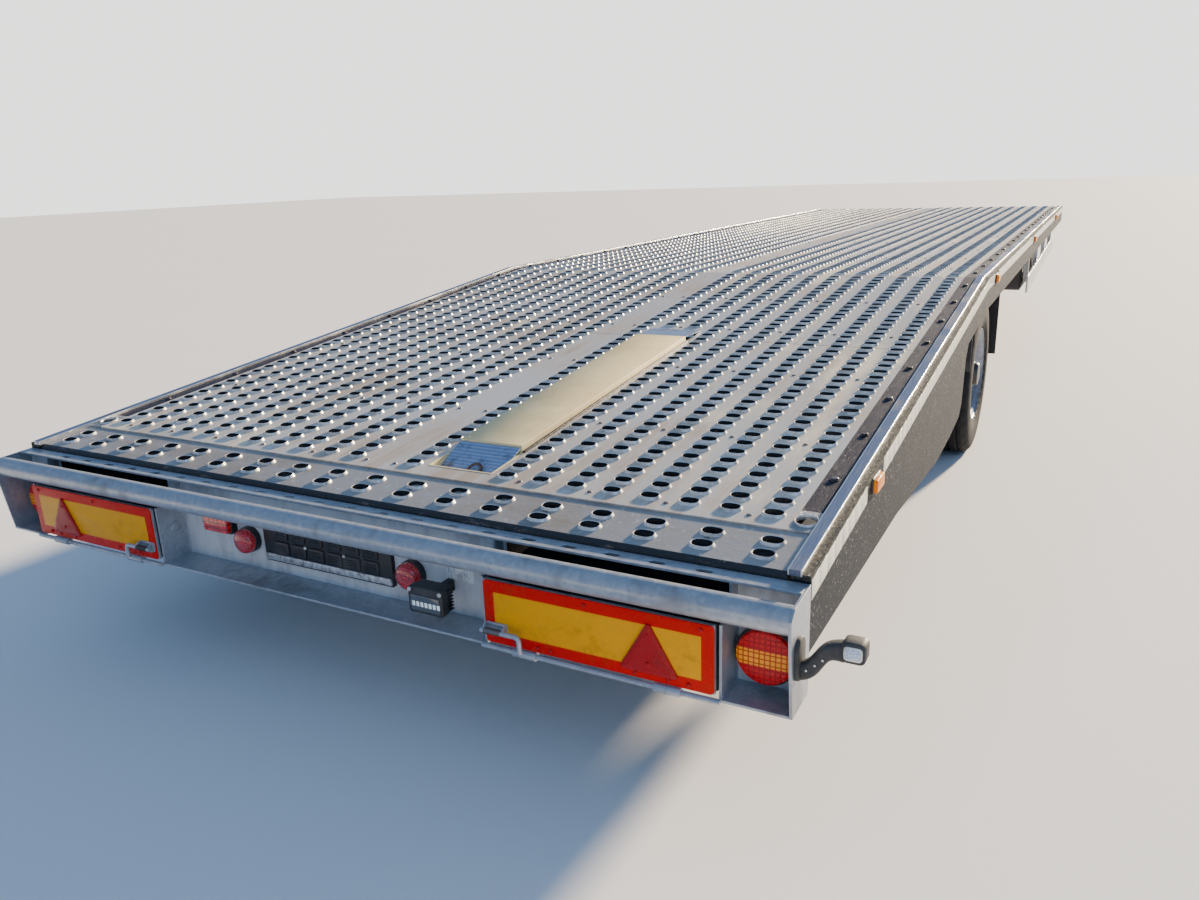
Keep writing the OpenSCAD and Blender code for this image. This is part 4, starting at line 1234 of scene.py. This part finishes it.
arm_low, arm_high = box("marker_arms")
head_low, head_high = box("marker_lamps")
end_y = frame_high[1]
head_w = head_high[1] - arm_high[1]
head_mid = np.array([(head_low[0] + head_high[0]) / 2, head_high[1] - head_w / 2,
                     (head_low[2] + head_high[2]) / 2])
for side, hand in SIDES:
    foot_mid = np.array([(arm_low[0] + arm_high[0]) / 2, end_y, (arm_low[2] + arm_high[2]) / 2 - 2 * MM])
    foot_half = (25 * MM, (arm_high[2] - arm_low[2]) / 2 - 3 * MM)
    parts = [at(black_rubber, pad(*foot_half, 9, 22, 3, 6), foot_mid * (1, side, 1), (-side, 0, 0))]
    way = np.linspace(0, 1, 22)
    ys = end_y + 6 * MM + way * (arm_high[1] - end_y - 2 * MM)
    rise = 1 / (1 + np.exp(-(way - 0.42) * 9))
    zs = arm_low[2] + 22 * MM + rise * (head_mid[2] - 6 * MM - arm_low[2] - 22 * MM)
    half_x, half_tall = 13 * MM + 2 * MM * way, 20 * MM - 4 * MM * np.sin(np.pi * way)
    outline = rounded(1, 1, 0.55, 5)
    lean_a = np.arctan(np.gradient(zs, ys)) * 0.5
    rings = np.stack([head_mid[0] + outline[None, :, 0] * half_x[:, None],
                      ys[:, None] - outline[None, :, 1] * half_tall[:, None] * np.sin(lean_a)[:, None],
                      zs[:, None] + outline[None, :, 1] * half_tall[:, None] * np.cos(lean_a)[:, None]], -1)
    rings = rings[:, ::-1] * (1, side, 1)
    rings = rings if side > 0 else rings[:, ::-1]
    parts.append((stack(rings), black_rubber))
    for way_y, z in ((0.2, -16), (0.42, -6), (0.62, 4)):
        y, stud_z = end_y + 6 * MM + way_y * 0.072, arm_low[2] + 30 * MM + (z + 16) * MM * 1.4
        stud = lathe(8, [(2.6, 0), (1.8, 1.2)])
        parts.append(at(collar_steel, stud, (head_mid[0] - 14 * MM, side * y, stud_z)))
    head_at = head_mid * (1, side, 1)
    half_head, tall_head, deep = head_w / 2, (head_high[2]
                                              - head_low[2]) / 2 - 2 * MM, head_high[0] - head_low[0] - 8 * MM
    shell = pad(half_head, tall_head, deep / 2 / MM, 10, 4, 6)
    for facing, across in ((-1, (0, -1, 0)), (1, (0, 1, 0))):
        parts.append(at(black_rubber, shell, head_at, across))
        rim = pad(half_head - 5 * MM, tall_head - 7 * MM, 2.5, 7, 1, 6)
        lens = pad(half_head - 8 * MM, tall_head - 10 * MM, 3.2, 5, 1.5, 6)
        face = head_at + (facing * (deep / 2 - 1 * MM), 0, 0)
        parts += [at(collar_steel, rim, face, across), at(pale_lens, lens, face, across)]
    make("outline_marker_" + hand, parts, replaces=["marker_arms", "marker_lamps"])


# ---------------------------------------------------------------------------------------------
# Wheel covers: black moulded plastic tunnels over the twin wheels, with a flap at each foot.

recoat(black_plastic, "mudguards")


# ---------------------------------------------------------------------------------------------
# Side guards: an extruded aluminium plank on galvanised posts along each side ahead of the wheels.

@painted(Metallic=0.8)
def drawn_plank(point):
    drawn = point.stretch(0.5, 40, 40).noise(3, 4, 0.6)
    splash = point.noise(3.4, 6, 0.65).step(0.45, 0.70)
    return {"Base Color": splash.mix((0.58, 0.59, 0.61), (0.36, 0.34, 0.31)),
            "Roughness": splash * 0.25 + drawn * 0.15 + 0.26, "Bump": (drawn, 0.0006)}


recoat(drawn_plank, "side_guards")
ease_edges(0.0015, "side_guards")


# ---------------------------------------------------------------------------------------------
# Storage boxes: moulded plastic lockers hung behind the side guards, with a framed lid, stiffening
# ribs and two catches.

boxes_low, boxes_high = box("storage_boxes")
box_co = np.array([v.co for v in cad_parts["storage_boxes"].data.vertices])
box_in_y = box_co[box_co[:, 1] > 0][:, 1].min()
box_low = boxes_low * (1, 0, 1) + (0, box_in_y, 0)
box_mid, box_half = (boxes_high + box_low) / 2, (boxes_high - box_low) / 2
for side, hand in SIDES:
    along = (-side, 0, 0)
    depth = 2 * box_half[1] - 10 * MM
    inner_at = box_mid * (1, side, 1) - np.array([0, side * box_half[1], 0])
    face_at = inner_at + (0, side * depth, 0)
    parts = [at(black_plastic, pad(box_half[0], box_half[2], depth / MM, 24, 6, 5), inner_at, along),
             at(black_plastic, pad(box_half[0] - 14 * MM, box_half[2] - 14 * MM, 5, 20, 2, 5), face_at,
                along)]
    for k in np.linspace(-0.8, 0.8, 7):
        parts.append(at(black_plastic, pad(12 * MM, box_half[2] - 50 * MM, 4, 6, 2),
                        face_at + (k * box_half[0], side * 4.5 * MM, 0), along))
    for k in (-0.5, 0.5):
        parts.append(at(galvanised_zinc, pad(26 * MM, 15 * MM, 4.5, 4, 2),
                        face_at + (k * box_half[0], side * 5 * MM, box_half[2] - 30 * MM), along))
    make("locker_" + hand, parts, replaces=["storage_boxes"])


# ---------------------------------------------------------------------------------------------
# Air tanks: spun steel bottles in black paint with domed ends and two strap bands, hung from the
# cross members beside each main rail.

@painted()
def gloss_black(point):
    dust = (point.noise(4, 5, 0.6) * 0.6 + point.stretch(1, 1, 0.3).noise(8) * 0.4).step(0.42, 0.68)
    return {"Base Color": dust.mix((0.014, 0.014, 0.016), (0.085, 0.08, 0.074)),
            "Roughness": dust * 0.35 + 0.28, "Bump": (point.noise(140, 3), 0.0005)}


tanks_low, tanks_high = box("air_tanks")
tank_l, _, tank_r = (tanks_high - tanks_low) * (1, 1, 0.5)
arc = np.linspace(0, np.pi / 2, 8)[:-1]
end_l = 70 * MM
bottle_end = [(min(tank_r * math.sin(a) + 2 * MM, tank_r), end_l - end_l * math.cos(a)) for a in arc]
bottle_end.append((tank_r, end_l))
tank_line = bottle_end + [(r, tank_l - h) for r, h in bottle_end[::-1]]
for side, hand in SIDES:
    mid_y, mid_z = side * (tanks_high[1] - tank_r), (tanks_low[2] + tanks_high[2]) / 2
    parts = [at(gloss_black, lathe(32, tank_line, 1), (tanks_low[0], mid_y, mid_z), (0, 1, 0))]
    for x in (0.25, 0.75):
        band = [(tank_r, 0), (tank_r + 0.2 * MM, 1 * MM), (tank_r + 0.2 * MM, 29 * MM), (tank_r, 30 * MM)]
        parts.append(at(galvanised_zinc, lathe(32, band, 1),
                        (tanks_low[0] + x * tank_l - 15 * MM, mid_y, mid_z), (0, 1, 0)))
    make("air_bottle_" + hand, parts, replaces=["air_tanks"])


# ---------------------------------------------------------------------------------------------
# Axle and suspension: a square beam axle on forged trailing arms, with rolling-lobe air springs
# between the arms and the main rails.

recoat(gloss_black, "axle", "trailing_arms")
ease_edges(0.004, "trailing_arms")
springs_low, springs_high = box("air_springs")
spring_x = (springs_low[0] + springs_high[0]) / 2
spring_r, _, spring_h = (springs_high - springs_low) * (0.5, 1, 1)
way = np.linspace(0, 1, 25)
lobe = spring_r * (0.80 + 0.20 * np.clip(np.sin(np.pi * np.clip((way - 0.30) / 0.62, 0, 1)), 0, 1) ** 0.5)
lobe = np.where(way < 0.30, spring_r * (0.62 + 0.10 * way / 0.30), lobe)
lobe[-2:] = spring_r * 0.9
for side, hand in SIDES:
    mid_y = side * (springs_high[1] - spring_r)
    shape = stack(levels([(ring_of(36, r), h * spring_h) for r, h in zip(lobe, way)]))
    make("air_bag_" + hand,
         [at(black_rubber, shape, (spring_x, mid_y, springs_low[2]), (1, 0, 0), (0, 1, 0))],
         replaces=["air_springs"])


# ---------------------------------------------------------------------------------------------
# Tyres: twin road tyres on each side, with four grooves round the tread, slanted sipes on the
# shoulders and ribbed plain walls.

@painted(Specular_IOR_Level=0.15)
def tyre_rubber(point):
    dust = point.noise(5, 6, 0.65).step(0.40, 0.70)
    grain = point.noise(260, 3)
    return {"Base Color": dust.mix((0.007, 0.008, 0.011), (0.030, 0.029, 0.029)),
            "Roughness": dust * 0.2 + 0.66, "Bump": (grain, 0.0006)}


tyres_out_y = box("tyres_left")[1][1]
(axle_x, _, axle_z), (_, twin_half, tyre_r) = middle("tyres_left")
twin_gap = 30 * MM
tyre_w = twin_half - twin_gap / 2
rim_r = middle("wheel_left")[1][2]


def tyre_shape(y_out, side):
    """A tyre as rings round the wheel. The section runs from the inner bead up one wall, over the
    tread and down the other wall; the tread dips 9 mm in four grooves, and its shoulders dip
    5 mm where the sine of 30 times the angle plus a slant is positive."""
    turn = np.arange(181)[:-1] * 2 * np.pi / 180
    half = tyre_w / 2
    bead = [(rim_r + r * MM, y * MM - half) for r, y in ((1, 16), (12, 8), (30, 5), (34, 3), (60, 1))]
    bead += [(tyre_r - r * MM, y * MM - half) for r, y in ((75, 0), (40, 4), (22, 10), (8, 22))]
    tread_y = np.linspace(-half + 30 * MM, half - 30 * MM, 33)
    r = np.array([p[0] for p in bead] + [tyre_r] * len(tread_y) + [p[0] for p in bead[::-1]])
    y = np.array([p[1] for p in bead] + list(tread_y) + [-p[1] for p in bead[::-1]])
    crown = np.where(np.abs(y) < half - 25 * MM, 3 * MM * (y / half) ** 2, 0)
    tread = np.zeros(len(r), bool)
    tread[len(bead):-len(bead)] = True
    groove = tread & np.any([np.abs(y - g) < 5 * MM for g in (-0.060, -0.020, 0.020, 0.060)], axis=0)
    shoulder = (np.abs(y) > 0.064) & (np.abs(y) < half - 6 * MM)
    sipe = np.sin(30 * turn[:, None] + 60 * np.abs(y)[None]) > 0.55
    plain = (r - crown - np.where(groove, 9 * MM, 0))[None]
    radius = plain - np.where(shoulder[None] & sipe & ~groove[None], 5 * MM, 0)
    points = np.stack([axle_x + radius * np.sin(turn)[:, None],
                       np.broadcast_to(y_out - side * half + y * side, radius.shape),
                       axle_z + radius * np.cos(turn)[:, None]], -1)
    return stack(points if side > 0 else points[:, ::-1], loop=True)


for side, hand in SIDES:
    outer_y = side * tyres_out_y
    parts = [(tyre_shape(outer_y - side * n * (tyre_w + twin_gap), side), tyre_rubber) for n in (0, 1)]
    make("twin_tyres_" + hand, parts, "wheel_" + hand, ["tyres_" + hand], crease=30)


# ---------------------------------------------------------------------------------------------
# Wheels: silver painted disc wheels, dished inwards, with eight hand holes, ten nuts round a hub
# cap, and a rolled rim. The inner wheel and the drum behind it are plain turned shapes.

# The silver paint is given a dark blue-grey as painted shade, because the wheels stand in shade. The road
# mask adds real road grime.
@painted()
def wheel_silver(point):
    road = (point.noise(6, 6, 0.65) * 0.7 + point.noise(60, 3) * 0.3).step(0.42, 0.66)
    return {"Base Color": road.mix((0.25, 0.28, 0.34), (0.12, 0.12, 0.125)), "Metallic": 0.6 - road * 0.4,
            "Roughness": road * 0.3 + 0.30, "Bump": (point.noise(180, 2), 0.0004)}


holes, hole_mid, band_half = 8, 0.150, 0.030
rim_line = [(0.192, 0.098), (0.192, 0.075), (0.197, 0.040), (0.204, 0.026), (0.216, 0.020), (0.2195, 0.014),
            (0.2195, 0.010), (0.223, 0.010), (0.223, 0.018), (0.210, 0.036), (0.206, 0.060), (0.204, 0.205),
            (0.222, 0.214), (0.222, 0.222), (0.214, 0.224), (0.196, 0.200), (0.186, 0.104)]
hub_line = [(0.042, 0.030), (0.060, 0.026), (0.064, 0.034), (0.066, 0.100), (0.112, 0.104), (0.120, 0.092),
            (0.120, 0.118), (0.060, 0.124), (0.042, 0.124)]
drum_line = [(0.060, 0.235), (0.160, 0.235), (0.178, 0.262), (0.196, 0.270), (0.216, 0.268), (0.222, 0.270),
             (0.222, 0.286), (0.206, 0.292), (0.204, 0.440), (0.220, 0.450), (0.220, 0.460), (0.200, 0.455),
             (0.165, 0.445), (0.165, 0.455), (0.060, 0.455)]


def turned(line, y_out, side, count=64):
    """A ring-shaped solid: a closed outline of (radius, depth in from the tyre's outer face) turned
    round the wheel's axis."""
    line = np.asarray(line, float)
    turn = np.arange(count) * 2 * np.pi / count
    area = np.sum(line[:, 0] * np.roll(line[:, 1], -1) - np.roll(line[:, 0], -1) * line[:, 1])
    line = line[::-1] if area * side > 0 else line
    points = np.stack([axle_x + line[None, :, 0] * np.sin(turn)[:, None],
                       np.broadcast_to(y_out - side * line[None, :, 1], (count, len(line))),
                       axle_z + line[None, :, 0] * np.cos(turn)[:, None]], -1)
    return stack(points, loop=True)


def holed_disc(y_out, side):
    """The disc's holed band: eight flat cells bent round the axis, each with a round hole through
    it. Distance along a cell turns into an angle, and distance across it into a radius."""
    count, sector = 24, 2 * np.pi / holes
    hole = ring_of(count, 0.019, np.pi / count)
    edge = hole / np.abs(hole).max(1)[:, None]
    shape = []
    for n in range(holes):
        rings = []
        for outline, scale, depth in ((edge, None, 0.094), (hole, 1, 0.094), (hole, 1, 0.104),
                                      (edge, None, 0.104)):
            if scale is None:
                angle, radius = outline[:, 0] * sector / 2, hole_mid + outline[:, 1] * band_half
            else:
                angle, radius = outline[:, 0] / hole_mid, hole_mid + outline[:, 1]
            angle = angle + n * sector
            rings.append(np.column_stack([axle_x + radius * np.sin(angle),
                                          np.full(count, y_out - side * depth),
                                          axle_z + radius * np.cos(angle)]))
        rings = np.array(rings)
        shape.append(stack(rings[:, ::-1] if side > 0 else rings, False))
    return shape


hub_cap = [(0.055, 0), (0.055, 0.018), (0.050, 0.024), (0.030, 0.027), (0.004, 0.028)]
nut = lathe(6, [(15, 0), (15, 18), (9, 24), (4, 26)])
for side, hand in SIDES:
    outer_y = side * tyres_out_y
    parts = [(turned(line, outer_y, side), look) for line, look in
             ((rim_line, wheel_silver), (hub_line, wheel_silver), (drum_line, gloss_black))]
    parts += [(shape, wheel_silver) for shape in holed_disc(outer_y, side)]
    face = np.array([axle_x, outer_y - side * 30 * MM, axle_z])
    parts.append(at(gloss_black, lathe(36, hub_cap, 1), face, (-side, 0, 0)))
    for angle in np.arange(10) * np.pi / 5:
        spot = (axle_x + 0.090 * math.sin(angle), outer_y - side * 102 * MM, axle_z + 0.090 * math.cos(angle))
        parts.append(at(galvanised_zinc, nut, spot, (-side, 0, 0)))
    make("disc_wheels_" + hand, parts, "wheel_" + hand, ["wheel_" + hand])


# ---------------------------------------------------------------------------------------------
# Landing gear: square telescopic legs with sand shoes, joined by a cross shaft and wound by a crank
# on the right.

@painted(Metallic=0.3)
def leg_paint(point):
    grime = (point.noise(5, 5, 0.6) * 0.6 + point.stretch(1, 1, 0.3).noise(12) * 0.4).step(0.40, 0.66)
    chip = point.noise(38, 4, 0.7).step(0.62, 0.70)
    return {"Base Color": chip.mix(grime.mix((0.050, 0.052, 0.056), (0.12, 0.112, 0.10)), (0.22, 0.12, 0.07)),
            "Roughness": grime * 0.3 + 0.40, "Bump": (chip * 0.5 + point.noise(150, 2) * 0.5, 0.0007)}


recoat(leg_paint, "landing_legs", "landing_gear_shaft")
recoat(galvanised_zinc, "landing_gear_crank")
ease_edges(0.004, "landing_legs")


# ---------------------------------------------------------------------------------------------
# Air connections: a steel panel on the front beam with four couplings, closed by red and yellow
# dust caps.

def cap_look(dark, bright):
    def look(point):
        wear = point.noise(60, 4, 0.6).step(0.45, 0.65)
        return {"Base Color": wear.mix(bright, dark), "Roughness": wear * 0.2 + 0.34,
                "Bump": (point.noise(240, 2), 0.0003)}

    return look


recoat(leg_paint, "air_connection_panel")
panel_low, panel_high = box("air_connection_panel")
cap_looks = (finish("red_cap", cap_look((0.30, 0.02, 0.02), (0.62, 0.03, 0.03))),
             finish("yellow_cap", cap_look((0.40, 0.26, 0.02), (0.78, 0.52, 0.03))))
cap_line = [(20, 0.2), (20, 4), (17, 6.4), (6, 7)]
parts = []
for n, y in enumerate((-0.15, -0.05, 0.05, 0.15)):
    shape = lathe(24, cap_line)
    parts.append(at(cap_looks[n % 2], shape,
                    (panel_high[0] - 7.4 * MM, y, (panel_low[2] + panel_high[2]) / 2), (0, 1, 0)))
make("coupling_caps", parts)
